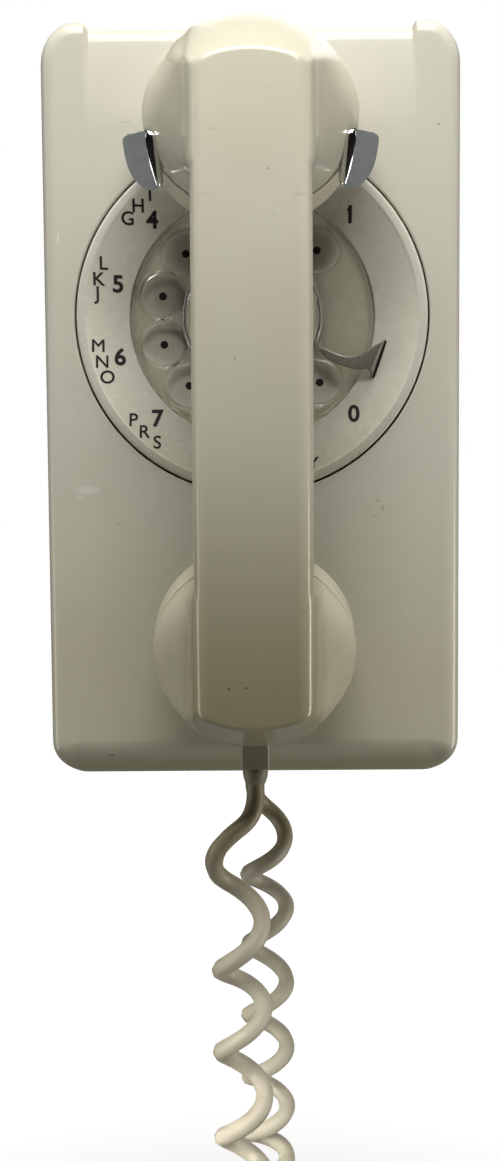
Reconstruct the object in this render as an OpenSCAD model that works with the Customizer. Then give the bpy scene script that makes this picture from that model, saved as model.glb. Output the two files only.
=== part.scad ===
// Wall telephone with a rotary dial, built as separate pieces.
// Frame: X to the right, Y into the wall, Z up. The wall is the plane y = 0.
// The origin is the middle of the two outlet-box screws in the base plate.

/* [Housing] */
// Width of the moulded housing across its front edges
body_w = 130.8; // [126:0.1:140]
// Height of the housing
body_h = 237; // [225:1:250]
// Depth of the housing from the wall to its front face
body_d = 70; // [66:1:78]
// Wall thickness of the moulding
wall = 2.6; // [2:0.1:3.2]
// Growth of each side from the front edge to the wall, for mould release
draft = 1.2; // [0:0.1:2]
// Plan radius of the four corners
corner_r = 10; // [8:0.5:12]
// Radius of the front edge along the sides and the top
edge_r = 4.5; // [3.5:0.5:5]
// Width of the shallow step between the two shoulders
step_w = 103; // [90:1:108]
// Depth of that step
step_d = 2; // [1:0.5:3]
// Length over which the step fades out down the face
step_fade = 30; // [20:1:40]

/* [Dial] */
// Height of the dial's axis above the origin
dial_z = 27.5; // [22:0.5:32]
// Outer radius of the dial's number plate
dish_r = 55; // [52:0.5:56]
// Gap all round between the number plate and the housing
dish_gap = 0.6; // [0.4:0.1:1]
// Radius of the finger wheel
wheel_r = 38.1; // [36:0.1:40]
// Thickness of the finger wheel
wheel_t = 2.8; // [2:0.1:3.2]
// Radius of the circle on which the finger holes lie
hole_ring_r = 29.4; // [28:0.1:30]
// Radius of a finger hole
finger_hole_r = 6.6; // [6:0.1:7]
// Number of finger holes
finger_holes = 10; // [8:1:10]
// Angle between neighbouring finger holes
hole_step = 30; // [28:1:30]
// Radius of the card holder in the middle of the wheel
card_r = 22.3; // [18:0.1:22.4]
// Height above the axis of the flat land under the receiver
land_z = 39.5; // [39:0.5:46]

/* [Handset] */
// Radius of the receiver end
receiver_r = 32; // [30:0.5:32.5]
// Radius of the transmitter end
transmitter_r = 31; // [29:0.5:32.5]
// Distance between the middles of the two ends
end_gap = 160.5; // [154:0.5:164]
// Height of the receiver end above the origin
receiver_z = 85; // [82:0.5:88]
// Tilt of each cap towards the middle of the handset
cap_tilt = 18; // [14:1:20]
// Thickness of a cap along its own axis
cap_t = 13; // [11:0.5:15]
// Width of the handle
handle_w = 33.6; // [30:0.2:36]
// Thickness of the handle from front to back
handle_t = 21; // [18:0.5:24]
// Reach of the handle's front in front of the housing's face
handset_h = 67; // [64:0.5:70]

/* [Hook] */
// Gap between the two arms that carry the receiver
arm_gap = 66; // [64:0.5:68]
// Thickness of an arm
arm_t = 2.6; // [2:0.1:3]
// Height of an arm
arm_h = 7; // [5:0.5:8]
// Travel of the hook from rest to its upper stop, in degrees
hook_travel = 7; // [5:0.5:7]

/* [Base] */
// Thickness of the steel base plate
plate_t = 1.6; // [1.2:0.1:2]
// Spacing of the outlet-box screws, one above the other
box_screw_z = 83.3; // [83.3:0.1:83.4]
// Radius of an outlet-box screw hole
box_screw_r = 2.4; // [2.2:0.1:2.6]
// Width between the wood-screw holes
wall_screw_x = 88.9; // [80:0.1:95]
// Height between the wood-screw holes
wall_screw_z = 203.2; // [190:0.1:208]
// Radius of a wood-screw hole
wall_screw_r = 2.6; // [2.2:0.1:3]
// Radius of the wire entry hole
wire_hole_r = 12.7; // [10:0.1:14]

/* [Gears] */
// Tooth size of the main pair, pitch diameter over teeth
main_module = 0.8; // [0.7:0.05:0.85]
// Teeth on the main gear
main_teeth = 60; // [50:1:62]
// Teeth on the pinion that it drives
pinion_teeth = 12; // [10:1:13]
// Tooth size of the governor pair
fine_module = 0.6; // [0.5:0.05:0.65]
// Teeth on the intermediate gear
mid_teeth = 48; // [40:1:50]
// Teeth on the governor pinion
governor_teeth = 10; // [9:1:11]
// Running clearance between a shaft and its bore
run_gap = 0.05; // [0.02:0.01:0.08]

/* [Cord] */
// Diameter of the jacketed wire
wire_d = 5.6; // [5:0.1:6]
// Outer diameter of the coils
coil_d = 19; // [17:0.5:21]

/* [Hidden] */
eps = 0.02;
// Radius of the front edge along the bottom
bottom_r = 10;
// Front and top planes of the housing
front_y = -body_d;
top_z = body_h / 2;
bottom_z = -body_h / 2;

// Dial stack, as distances in front of the wall
dish_front = body_d + 1;
rim_w = 3;
wheel_gap = 0.6;
wheel_back = body_d - 7;
wheel_front = wheel_back + wheel_t;
floor_front = wheel_back - 1.2;
plate_back = floor_front - 2.6;
frame_front = plate_back - 2;
frame_back = frame_front - 1.6;
frame_r = dish_r - 4;
gear_front = frame_back - 4;
gear_t = 1.8;
mid_front = gear_front - gear_t - 1.6;
mid_t = 1.4;
bridge_front = gear_front - 12;
bridge_t = 1.6;
shaft_r = 2.5;
small_shaft_r = 1.5;
main_gap = main_module * (main_teeth + pinion_teeth) / 2;
fine_gap = fine_module * (mid_teeth + governor_teeth) / 2;
mid_angle = -52;
governor_turn = -150;
governor_r = 12.4;
bracket_x = 42;
bracket_half = 7;

// Finger stop: place on the number plate and reach over the wheel
stop_angle = -18.6;
stop_r = 41.9;
stop_l = 12;
stop_t = 1.2;
stop_tip_r = 21;
first_hole_angle = 46;

// Hook: pivot, arms and ears
pivot_y = -22;
pivot_z = 90.5;
pivot_r = 2;
arm_slope = 11.6;
arm_x = arm_gap / 2;
arm_jog = 3.8;
jog_start = (body_d + pivot_y) / cos(arm_slope) + 0.5;
jog_end = jog_start + 7.5;
arm_reach = jog_start + 34;
slot_gap = 0.7;
ear_t = 2.6;

// Handset: ends, caps and handle
rest_gap = 2;
cap_edge_r = 3;
seam_front = body_d + rest_gap + (receiver_r - cap_edge_r) * sin(cap_tilt) + cap_t * cos(cap_tilt);
transmitter_z = receiver_z - end_gap;
handle_front = body_d + handset_h;
boot_z = transmitter_z - transmitter_r + 1.5;
boot_y = -seam_front - 4;

// Cord
cord_exit_y = -34;
grommet_drop = 3;

// Rods, boxes and profiles set along the axes
module yrod(r, y0, y1, x = 0, z = 0) {
    translate([x, y1, z]) rotate([90, 0, 0]) cylinder(r = r, h = y1 - y0, $fn = 64);
}
module xrod(r, x0, x1, y = 0, z = 0) {
    translate([x0, y, z]) rotate([0, 90, 0]) cylinder(r = r, h = x1 - x0, $fn = 48);
}
module zrod(r, z0, z1, x = 0, y = 0) {
    translate([x, y, z0]) cylinder(r = r, h = z1 - z0, $fn = 48);
}
module box(x0, x1, y0, y1, z0, z1) {
    translate([x0, y0, z0]) cube([x1 - x0, y1 - y0, z1 - z0]);
}
// A drawing in X and Z, extruded from y0 to y1
module face(y0, y1) {
    translate([0, y1, 0]) rotate([90, 0, 0]) linear_extrude(y1 - y0) children();
}
// A drawing in Y and Z, extruded from x0 to x1
module side(x0, x1) {
    translate([x0, 0, 0]) rotate([90, 0, 90]) linear_extrude(x1 - x0) children();
}
// A profile of radius and distance in front of the wall, turned about the axis at x, z
module turned(x = 0, z = dial_z) {
    translate([x, 0, z]) rotate([90, 0, 0]) rotate_extrude($fn = 96) children();
}
module rounded(w, h, r) {
    square([w - 2 * r, h], center = true);
    square([w, h - 2 * r], center = true);
    for (sx = [-1, 1], sz = [-1, 1])
        translate([sx * (w / 2 - r), sz * (h / 2 - r)]) circle(r = r, $fn = 48);
}
module mirrored() {
    children();
    mirror([1, 0, 0]) children();
}
function arc(cx, cy, r, a0, a1, n) =
    [for (i = [0:n]) let (a = a0 + (a1 - a0) * i / n) [cx + r * cos(a), cy + r * sin(a)]];

// Outline of a spur gear with straight-flanked teeth
module gear_outline(module_size, teeth, phase) {
    pitch_r = module_size * teeth / 2;
    root_r = pitch_r - 1.25 * module_size;
    tip_r = pitch_r + 0.85 * module_size;
    step = 360 / teeth;
    polygon([for (i = [0:teeth - 1])
        for (p = [[-0.34, root_r], [-0.21, pitch_r], [-0.09, tip_r], [0.09, tip_r], [0.21, pitch_r], [0.34, root_r]])
            let (a = phase + (i + p[0]) * step) [p[1] * cos(a), p[1] * sin(a)]]);
}

// ---------------------------------------------------------------- housing
// A corner post: plan radius r, front edge radius e, front plane at z = e
module corner_post(r, e) {
    rotate([90, 0, 0]) rotate_extrude($fn = 32)
        polygon(concat([[0, -1], [r, -1]], arc(r - e, 0, e, 0, 90, 4), [[0, e]]));
}
module housing_form(inset, drop) {
    r = corner_r - inset;
    e = edge_r - inset;
    cx = body_w / 2 - corner_r;
    hull() {
        for (sx = [-1, 1]) {
            translate([sx * cx, front_y + edge_r + drop, top_z - corner_r - drop]) corner_post(r, e);
            for (a = [0, 30, 60, 90])
                translate([sx * cx, front_y + edge_r + (bottom_r - edge_r) * (1 - sin(a)),
                           bottom_z + corner_r + (bottom_r - edge_r) * (1 - cos(a))]) corner_post(r, e);
            for (sz = [-1, 1])
                yrod(r, inset > 0 ? 0 : -eps, inset > 0 ? 1 : 0, sx * (cx + draft),
                     sz * (top_z - corner_r) - (sz > 0 ? drop : 0));
        }
    }
}
// What the step between the shoulders takes off the top and the upper face
module step_cut() {
    side(-step_w / 2, step_w / 2)
        polygon(concat(
            [[1, top_z + 1], [1, top_z - step_d]],
            arc(front_y + step_d + edge_r, top_z - step_d - edge_r, edge_r, 90, 180, 6),
            [[front_y, top_z - step_fade], [front_y - 1, top_z - step_fade], [front_y - 1, top_z + 1]]));
}
module arm_slot() {
    box(arm_x - arm_jog - slot_gap, arm_x - arm_jog + arm_t + slot_gap, front_y - 1, front_y + wall + step_d + 1,
        slot_low, slot_high);
}
slot_low = pivot_z - (jog_start - 1.5) * tan(arm_slope) - arm_h / 2 - 0.8;
slot_high = slot_low + arm_h + jog_start * sin(hook_travel) + 1.6;
screw_x = -38;
screw_y = -9;
tab_z = bottom_z + wall + 6;
// Underside of the two tabs on which the housing hangs
hang_z = top_z - step_d - wall - 5.4;

module housing() {
    color([0.83, 0.81, 0.74]) difference() {
        union() {
            difference() {
                housing_form(0, 0);
                housing_form(wall, step_d);
                step_cut();
            }
            // Boss for the screw that holds the housing to the base
            difference() {
                zrod(5, bottom_z + wall - eps, tab_z - 0.3, screw_x, screw_y);
                box(screw_x - 6, screw_x + 6, screw_y + 6.5, 1, bottom_z, tab_z);
            }
            // Lips that hang on the two tabs of the base
            mirrored() box(16, 28, -6.5, -5, top_z - step_d - wall - 3.6, top_z - step_d - wall + eps);
            // Ribs that stiffen the long sides
            mirrored() for (z = [-70, -30, 92])
                box(body_w / 2 - wall - 4, body_w / 2 - wall + 0.3, front_y + wall - eps, front_y + wall + 22, z, z + 2);
        }
        yrod(dish_r + dish_gap, front_y - 1, front_y + wall + 2, 0, dial_z);
        mirrored() arm_slot();
        zrod(2.2, bottom_z - 1, tab_z, screw_x, screw_y);
        zrod(3.8, bottom_z - 1, bottom_z + 2, screw_x, screw_y);
        zrod(grommet_r, bottom_z - 1, bottom_z + wall + 1, 0, cord_exit_y);
        box(volume_x - 1.6, volume_x + 1.6, volume_y - 8, volume_y + 8, bottom_z - 1, bottom_z + wall + 1);
    }
}
grommet_r = 4.5;
volume_x = 22;
volume_y = -38;
volume_r = 9;
volume_z = bottom_z + volume_r - 0.8;

module housing_screw() {
    color("silver") {
        zrod(3.4, bottom_z + 0.2, bottom_z + 2, screw_x, screw_y);
        zrod(1.7, bottom_z + 2 - eps, tab_z + 4, screw_x, screw_y);
    }
}

// ---------------------------------------------------------------- base plate
module base_plate() {
    plate_w = body_w + 2 * draft - 2 * wall - 1.6;
    color([0.62, 0.6, 0.5]) difference() {
        union() {
            difference() {
                face(-plate_t, 0) translate([0, -step_d / 2]) rounded(plate_w, body_h - 2 * wall - step_d - 1.2, corner_r - wall);
                face(-plate_t - 1, 1) circle(r = wire_hole_r, $fn = 64);
            }
            // Tabs on which the housing hangs, and the tab for its screw
            mirrored() {
                box(17, 27, -8.4, -plate_t + eps, hang_z, hang_z + 1.6);
                box(17, 27, -8.4, -7, hang_z + 1.6 - eps, top_z - step_d - wall - 1);
            }
            box(screw_x - 6, screw_x + 6, screw_y - 6, -plate_t + eps, tab_z, tab_z + 1.6);
        }
        for (s = [-1, 1]) yrod(box_screw_r, -plate_t - 1, 1, 0, s * box_screw_z / 2);
        for (sx = [-1, 1], sz = [-1, 1])
            yrod(wall_screw_r, -plate_t - 1, 1, sx * wall_screw_x / 2, sz * wall_screw_z / 2);
        zrod(1.75, tab_z - 1, tab_z + 3, screw_x, screw_y);
    }
}

// ---------------------------------------------------------------- dial, fixed pieces
// A straight strip of width w from a to b
module strip(a, b, w) {
    d = b - a;
    translate(a) rotate(atan2(d[1], d[0])) translate([0, -w / 2]) square([norm(d), w]);
}
// Moves a drawing made about the dial's axis to its place
module at_dial() translate([0, dial_z]) children();
function polar(r, a) = [r * cos(a), r * sin(a)];
main_c = [0, 0];
mid_c = polar(main_gap, mid_angle);
governor_c = mid_c + polar(fine_gap, governor_turn);
post_c = [polar(30, 150), polar(30, 18), polar(34, -126)];
contact_c = [-30, 0];
flange_screw_x = bracket_x + 4.5;
flange_screw_z = 4;

module dial_bracket() {
    z0 = dial_z - bracket_half;
    z1 = dial_z + bracket_half;
    color("darkgray") difference() {
        union() {
            box(-bracket_x, bracket_x, -plate_t - 1.6, -plate_t, z0, z1);
            mirrored() {
                box(bracket_x - 1.6, bracket_x, -frame_back, -plate_t, z0, z1);
                box(bracket_x - 1.6, bracket_x + 8, -frame_back, -frame_back + 1.6, z0, z1);
            }
        }
        for (sx = [-1, 1], sz = [-1, 1])
            yrod(1.6, -frame_back - 1, -frame_back + 3, sx * flange_screw_x, dial_z + sz * flange_screw_z);
    }
}
module dial_frame() {
    color("silver") {
        difference() {
            face(-frame_front, -frame_back) at_dial() difference() {
                circle(r = frame_r, $fn = 96);
                for (a = [60, 105, 190, 240]) translate(polar(36, a)) circle(r = 6, $fn = 40);
            }
            yrod(shaft_r + run_gap, -frame_front - 1, -frame_back + 1, 0, dial_z);
            for (c = [mid_c, governor_c])
                yrod(small_shaft_r + run_gap, -frame_front - 1, -frame_back + 1, c[0], dial_z + c[1]);
            for (sx = [-1, 1], sz = [-1, 1])
                yrod(1.6, -frame_front - 1, -frame_back + 1, sx * flange_screw_x, dial_z + sz * flange_screw_z);
        }
        for (c = post_c) yrod(2.5, -frame_back - eps, -bridge_front, c[0], dial_z + c[1]);
    }
}
module bearing_bridge() {
    color("darkgray") difference() {
        face(-bridge_front, -bridge_front + bridge_t) at_dial() {
            for (c = concat(post_c, [mid_c, governor_c, contact_c])) strip(main_c, c, 11);
            for (c = concat(post_c, [main_c, mid_c, contact_c])) translate(c) circle(r = 6.5, $fn = 48);
            translate(governor_c) circle(r = governor_r + 1.6, $fn = 64);
        }
        yrod(shaft_r + run_gap, -bridge_front - 1, -bridge_front + 3, 0, dial_z);
        for (c = [mid_c, governor_c])
            yrod(small_shaft_r + run_gap, -bridge_front - 1, -bridge_front + 3, c[0], dial_z + c[1]);
    }
}
module dial_screws() {
    color("silver") for (sx = [-1, 1], sz = [-1, 1]) {
        x = sx * flange_screw_x;
        z = dial_z + sz * flange_screw_z;
        difference() {
            yrod(3, -frame_front - 1.6, -frame_front, x, z);
            box(x - 3.5, x + 3.5, -frame_front - 2, -frame_front - 1, z - 0.4, z + 0.4);
        }
        yrod(1.5, -frame_front - eps, -frame_back + 3, x, z);
    }
}
// Moulded plate: a rounded rim, a dished band and the flat floor under the finger wheel
module number_plate() {
    inner = wheel_r + wheel_gap;
    lip = wheel_front + 0.2;
    color([0.83, 0.81, 0.74]) difference() {
        union() {
            turned() polygon(concat(
                [[9, plate_back], [inner + 2.4, plate_back], [inner + 2.4, lip - 2.6], [dish_r - rim_w, dish_front - 3.4],
                 [dish_r - 2.4, dish_front - 3.4], [dish_r - 2.4, plate_back], [dish_r, plate_back]],
                arc(dish_r - 1.2, dish_front - 1.2, 1.2, 0, 90, 4),
                arc(dish_r - rim_w + 0.6, dish_front - 1, 1, 90, 150, 3),
                [[inner + 0.8, lip], [inner, lip - 0.8], [inner, floor_front], [9, floor_front]]));
            // Flat land under the receiver
            face(-dish_front + 0.5, -lip + 1) at_dial() intersection() {
                circle(r = dish_r - rim_w, $fn = 96);
                translate([-dish_r, land_z]) square([2 * dish_r, dish_r]);
            }
            for (a = [90, 200, 300])
                yrod(3, -dish_front + 5, -frame_front, polar(47, a)[0], dial_z + polar(47, a)[1]);
        }
        stop_place() translate([0, 0, plate_back - 1]) cut_slot(stop_t + 0.3, stop_l + 0.3);
    }
}
// Local frame of the finger stop: X outwards along the radius, Z to the front
module stop_place() {
    translate([0, 0, dial_z]) rotate([90, 0, 0]) rotate(stop_angle) translate([stop_r, 0, 0]) children();
}
module cut_slot(t, l) translate([-t / 2, -l / 2, 0]) cube([t, l, 20]);
// Bent strip: a tab through the plate and a tapered blade over the wheel
module finger_stop() {
    front = dish_front - 1.6;
    color("silver") {
        stop_place() translate([-stop_t / 2, -stop_l / 2, plate_back - 1.5]) cube([stop_t, stop_l, front - plate_back + 1.5]);
        face(-front, -front + stop_t) at_dial() polygon([
            polar(stop_r, stop_angle + 8), polar(37.6, -17), polar(35, -20.5), polar(32.4, -22.6),
            polar(stop_tip_r + 2, -23.8), polar(stop_tip_r + 1.4, -28), polar(28.6, -29.2), polar(32, -28.5),
            polar(35.2, -28.2), polar(38.4, -26.2), polar(stop_r, stop_angle - 8)]);
    }
}
// Flat spiral spring that turns the dial back
module main_spring() {
    turns = 4.25;
    steps = 68;
    r0 = 4.2;
    r1 = 16;
    t = 0.45;
    spiral = function(off) [for (i = [0:steps]) polar(r0 + (r1 - r0) * i / steps + off, 360 * turns * i / steps)];
    outer = spiral(t / 2);
    inner = spiral(-t / 2);
    color("dimgray") {
        face(-frame_back + 0.4, -gear_front - 0.6) at_dial()
            polygon(concat(outer, [for (i = [steps:-1:0]) inner[i]]));
        end = polar(r1, 360 * turns);
        yrod(1.2, -frame_back, -gear_front - 0.6, end[0], dial_z + end[1] + 1.3);
    }
}
module pulse_contacts() {
    x = contact_c[0];
    color([0.25, 0.2, 0.16]) box(x - 4, x + 4, -bridge_front - 8, -bridge_front, dial_z - 5, dial_z + 5);
    color("gold") for (z = [-3.6, -1.2, 1.2, 3.6])
        box(x + 4 - eps, x + 18.5 - abs(z) / 2, -bridge_front - 6.4, -bridge_front - 3.2, dial_z + z - 0.2, dial_z + z + 0.2);
}
module governor_cup() {
    color("goldenrod") turned(governor_c[0], dial_z + governor_c[1])
        polygon([[4, bridge_front], [governor_r + 1.4, bridge_front], [governor_r + 1.4, bridge_front + 6],
                 [governor_r + 0.5, bridge_front + 6], [governor_r + 0.5, bridge_front + 0.8], [4, bridge_front + 0.8]]);
}

// ---------------------------------------------------------------- dial, turning pieces
module finger_wheel() {
    color([0.9, 0.88, 0.8, 0.45]) difference() {
        turned() polygon(concat(
            [[0, wheel_back], [wheel_r - 0.6, wheel_back], [wheel_r, wheel_back + 0.6]],
            arc(wheel_r - 1, wheel_front - 1, 1, 0, 90, 3), [[0, wheel_front]]));
        for (i = [0:finger_holes - 1]) {
            c = polar(hole_ring_r, first_hole_angle + i * hole_step);
            yrod(finger_hole_r, -wheel_front - 1, -wheel_back + 1, c[0], dial_z + c[1]);
        }
        yrod(shaft_r + run_gap, -wheel_front - 1, -wheel_back + 1, 0, dial_z);
    }
}
module card_holder() {
    color([0.75, 0.74, 0.7]) turned() polygon([
        [0, wheel_front + 0.9], [card_r - 1.3, wheel_front + 0.9], [card_r - 1.3, wheel_front], [card_r, wheel_front],
        [card_r, wheel_front + 1], [card_r - 0.8, wheel_front + 1.8], [0, wheel_front + 1.8]]);
}
module number_card() {
    color("white") yrod(card_r - 1.6, -wheel_front - 0.7, -wheel_front - 0.1, 0, dial_z);
}
module main_shaft() {
    color("silver") {
        yrod(shaft_r, -wheel_front + 0.2, -bridge_front + bridge_t + 1, 0, dial_z);
        yrod(7.5, -wheel_back, -wheel_back + 2.4, 0, dial_z);
    }
}
module main_gear() {
    color("goldenrod") difference() {
        union() {
            face(-gear_front, -gear_front + gear_t) at_dial() difference() {
                gear_outline(main_module, main_teeth, 0);
                for (a = [0:72:359]) translate(polar(14, a)) circle(r = 4, $fn = 32);
            }
            yrod(5.5, -gear_front, -gear_front + gear_t + 1.4, 0, dial_z);
        }
        yrod(shaft_r + run_gap, -gear_front - 1, -gear_front + 5, 0, dial_z);
    }
}
// Cam with one notch for each pulse, over a little more than half a turn
module pulse_cam() {
    color([0.45, 0.3, 0.18]) difference() {
        yrod(9.4, -bridge_front - 6, -bridge_front - 3.6, 0, dial_z);
        for (i = [0:9]) {
            c = polar(10.2, 150 - i * 30);
            yrod(1.7, -bridge_front - 7, -bridge_front - 3, c[0], dial_z + c[1]);
        }
        yrod(shaft_r + run_gap, -bridge_front - 7, -bridge_front - 3, 0, dial_z);
    }
}
// A pinion or gear lying flat at distance d in front of the wall
module flat_gear(c, module_size, teeth, phase, d, t) {
    face(-d, -d + t) at_dial() translate(c) gear_outline(module_size, teeth, phase);
}
module intermediate_gear() {
    color("goldenrod") {
        flat_gear(mid_c, main_module, pinion_teeth, pinion_phase, gear_front + 0.5, gear_t + 1);
        flat_gear(mid_c, fine_module, mid_teeth, 0, mid_front, mid_t);
        yrod(small_shaft_r, -frame_front + 0.2, -bridge_front + bridge_t + 0.8, mid_c[0], dial_z + mid_c[1]);
        yrod(3, -gear_front + gear_t + 0.4, -mid_front + eps, mid_c[0], dial_z + mid_c[1]);
    }
}
// Phases that set a tooth of the driven wheel in a gap of the driving one
pinion_phase = mid_angle + 180 + 180 / pinion_teeth + mid_angle * main_teeth / pinion_teeth;
governor_phase = governor_turn + 180 + 180 / governor_teeth + governor_turn * mid_teeth / governor_teeth;
module governor_rotor() {
    x = governor_c[0];
    z = dial_z + governor_c[1];
    color("goldenrod") {
        flat_gear(governor_c, fine_module, governor_teeth, governor_phase, mid_front + 0.4, mid_t + 0.8);
        yrod(small_shaft_r, -frame_front + 0.2, -bridge_front + bridge_t + 0.8, x, z);
        // Two weights on a cross arm
        face(-bridge_front - 5, -bridge_front - 1.6) at_dial() translate(governor_c) {
            square([2 * 7, 3], center = true);
            for (s = [-1, 1]) scale([s, s]) polygon(concat(
                arc(0, 0, governor_r - 0.6, -55, 55, 12), arc(0, 0, 6.4, 55, -55, 8)));
        }
    }
}

// ---------------------------------------------------------------- network
case_x = -body_w / 2 + wall + 3.8;
case_w = 41;
// Top of the ringer's frame: the network case stands there and ends below the dial
ringer_top = bottom_z + 73.5;
case_z = ringer_top;
case_h = dial_z - 15.5 - case_z;
case_d = 25;
module network_case() {
    color([0.35, 0.36, 0.36]) difference() {
        box(case_x, case_x + case_w, -plate_t - case_d, -plate_t, case_z, case_z + case_h);
        // The two long front corners are taken off
        for (z = [case_z, case_z + case_h])
            translate([case_x - 1, -plate_t - case_d, z]) rotate([45, 0, 0]) translate([0, -1.5, -1.5]) cube([case_w + 2, 3, 3]);
    }
}
module terminal_board() {
    d = plate_t + case_d;
    color([0.45, 0.3, 0.18]) difference() {
        box(case_x + 1, case_x + case_w - 1, -d - 2, -d, case_z + 4, case_z + case_h - 4);
        for (p = terminals) yrod(1.6, -d - 3, -d - 0.8, p[0], p[1]);
    }
}
terminals = [for (i = [0:3], j = [0:4]) [case_x + 6 + i * (case_w - 12) / 3, case_z + 10 + j * (case_h - 20) / 4]];
module terminal_screws() {
    d = plate_t + case_d + 2;
    color("gold") for (p = terminals) {
        difference() {
            yrod(2.6, -d - 1.6, -d, p[0], p[1]);
            box(p[0] - 3, p[0] + 3, -d - 2, -d - 1, p[1] - 0.35, p[1] + 0.35);
        }
        yrod(1.5, -d - eps, -d + 1.1, p[0], p[1]);
    }
}

// ---------------------------------------------------------------- ringer
gong_x = 27;
gong_z = bottom_z + 34.5;
gong_large_r = 23;
gong_small_r = 21;
gong_back = 14;
gong_front = 26;
coil_z = ringer_top - 8;
coil_y = -16;
clapper_z = gong_z + 18;
clapper_x = 1;
clapper_d = 20;
cheek_x = 22;
volume_t = 2.4;

module ringer_frame() {
    color("darkgray") difference() {
        union() {
            box(-40, 40, -plate_t - 1.6, -plate_t, gong_z - 14, ringer_top);
            mirrored() box(cheek_x, cheek_x + 1.6, coil_y - 8, -plate_t, coil_z - 7, coil_z + 7);
            for (s = [-1, 1]) yrod(3, -gong_front + 1.2, -plate_t, s * gong_x, gong_z);
            yrod(1.5, -clapper_d - 3.4, -plate_t, clapper_x, clapper_z);
            yrod(3, -clapper_d + 1.7, -plate_t, clapper_x, clapper_z);
            // Foot and ear that carry the loudness wheel
            box(volume_x - 4, volume_x + 8, -plate_t - 1.6, -plate_t, volume_z - 3.6, gong_z - 14 + eps);
            box(volume_x + 1.9, volume_x + 3.5, volume_y - 4, -plate_t, volume_z - 3.6, volume_z + 3.4);
        }
        for (s = [-1, 1]) yrod(1.85, -gong_front - 1, -gong_front + 9, s * gong_x, gong_z);
        xrod(3 + run_gap, -cheek_x - 3, cheek_x + 3, coil_y, coil_z);
        xrod(1.5 + run_gap, volume_x, volume_x + 5, volume_y, volume_z);
    }
}
module ringer_coil() {
    color([0.5, 0.22, 0.12]) difference() {
        union() {
            xrod(6, -cheek_x + 1, cheek_x - 1, coil_y, coil_z);
            for (x = [-cheek_x + 1, -0.5, cheek_x - 2]) xrod(7, x, x + 1, coil_y, coil_z);
        }
        xrod(3 + run_gap, -cheek_x, cheek_x, coil_y, coil_z);
    }
}
module ringer_core() {
    color("gray") xrod(3, -cheek_x - 2.6, cheek_x + 2.6, coil_y, coil_z);
}
module ringer_magnet() {
    color("dimgray") box(-cheek_x + 2, cheek_x - 2, -plate_t - 6.4, -plate_t - 1.6, coil_z - 6, coil_z + 6);
}
// Bell shell, open towards the wall
module gong(r, x) {
    color("goldenrod") difference() {
        turned(x, gong_z) polygon(concat(
            [[0, gong_front]], [[r - 6, gong_front]], arc(r - 6, gong_front - 6, 6, 90, 0, 6),
            [[r, gong_back], [r - 1.2, gong_back]], arc(r - 6, gong_front - 6, 4.8, 0, 90, 6),
            [[0, gong_front - 1.2]]));
        yrod(1.95, -gong_front - 1, -gong_front + 2, x, gong_z);
    }
}
module gong_large() gong(gong_large_r, -gong_x);
module gong_small() gong(gong_small_r, gong_x);
module gong_screws() {
    color("silver") for (s = [-1, 1]) {
        difference() {
            yrod(4, -gong_front - 2, -gong_front, s * gong_x, gong_z);
            box(s * gong_x - 4.5, s * gong_x + 4.5, -gong_front - 2.5, -gong_front - 1.2, gong_z - 0.5, gong_z + 0.5);
        }
        yrod(1.8, -gong_front - eps, -gong_front + 8, s * gong_x, gong_z);
    }
}
// Striker that swings between the two gongs
module clapper() {
    color("silver") difference() {
        union() {
            yrod(3.6, -clapper_d - 1.5, -clapper_d + 1.5, clapper_x, clapper_z);
            zrod(0.9, gong_z, clapper_z - 3, clapper_x, -clapper_d);
            translate([clapper_x, -clapper_d, gong_z]) sphere(r = 3, $fn = 32);
            box(clapper_x - 9, clapper_x + 9, -clapper_d - 1, -clapper_d + 1, clapper_z - 0.9, clapper_z + 0.9);
        }
        yrod(1.5 + run_gap, -clapper_d - 3, -clapper_d + 3, clapper_x, clapper_z);
    }
}
module volume_wheel() {
    color([0.2, 0.2, 0.19]) {
        difference() {
            xrod(volume_r, volume_x - volume_t / 2, volume_x + volume_t / 2, volume_y, volume_z);
            for (a = [0:20:359])
                translate([volume_x, volume_y + (volume_r + 0.3) * cos(a), volume_z + (volume_r + 0.3) * sin(a)])
                    xrod(0.7, -volume_t, volume_t);
        }
        xrod(1.5, volume_x, volume_x + 4.4, volume_y, volume_z);
    }
}

// ---------------------------------------------------------------- hook
cheek_in = 22;
module hook_bracket() {
    color("darkgray") difference() {
        union() {
            box(-cheek_in - 1.6, cheek_in + 1.6, -plate_t - 1.6, -plate_t, pivot_z - 11, min(pivot_z + 8, hang_z - 0.5));
            mirrored() box(cheek_in, cheek_in + 1.6, pivot_y - 4.5, -plate_t, pivot_z - 6, pivot_z + 6);
        }
        xrod(pivot_r + run_gap, -cheek_in - 3, cheek_in + 3, pivot_y, pivot_z);
    }
}
module hook_pin() {
    color("silver") xrod(pivot_r, -arm_x + arm_jog - arm_t - 0.8, arm_x - arm_jog + arm_t + 0.8, pivot_y, pivot_z);
}
module hook_spring() {
    color("dimgray") {
        for (x = [-5.5:1:5.5]) translate([x, pivot_y, pivot_z]) rotate([0, 90, 0])
            rotate_extrude($fn = 32) translate([3.2, 0]) circle(r = 0.55, $fn = 16);
        yrod(0.5, pivot_y, -plate_t - 1.6, -5.5, pivot_z + 3.2);
        yrod(0.5, pivot_y - 6.6, pivot_y, 5.5, pivot_z + 3.2);
    }
}
module hook_contacts() {
    color([0.25, 0.2, 0.16]) box(-6, 6, -16, -plate_t, pivot_z - 22, pivot_z - 12);
    color("gold") for (z = [-20.5, -18, -15.5, -13])
        box(-3, 3, -33, -16 + eps, pivot_z + z - 0.2, pivot_z + z + 0.2);
}
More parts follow.
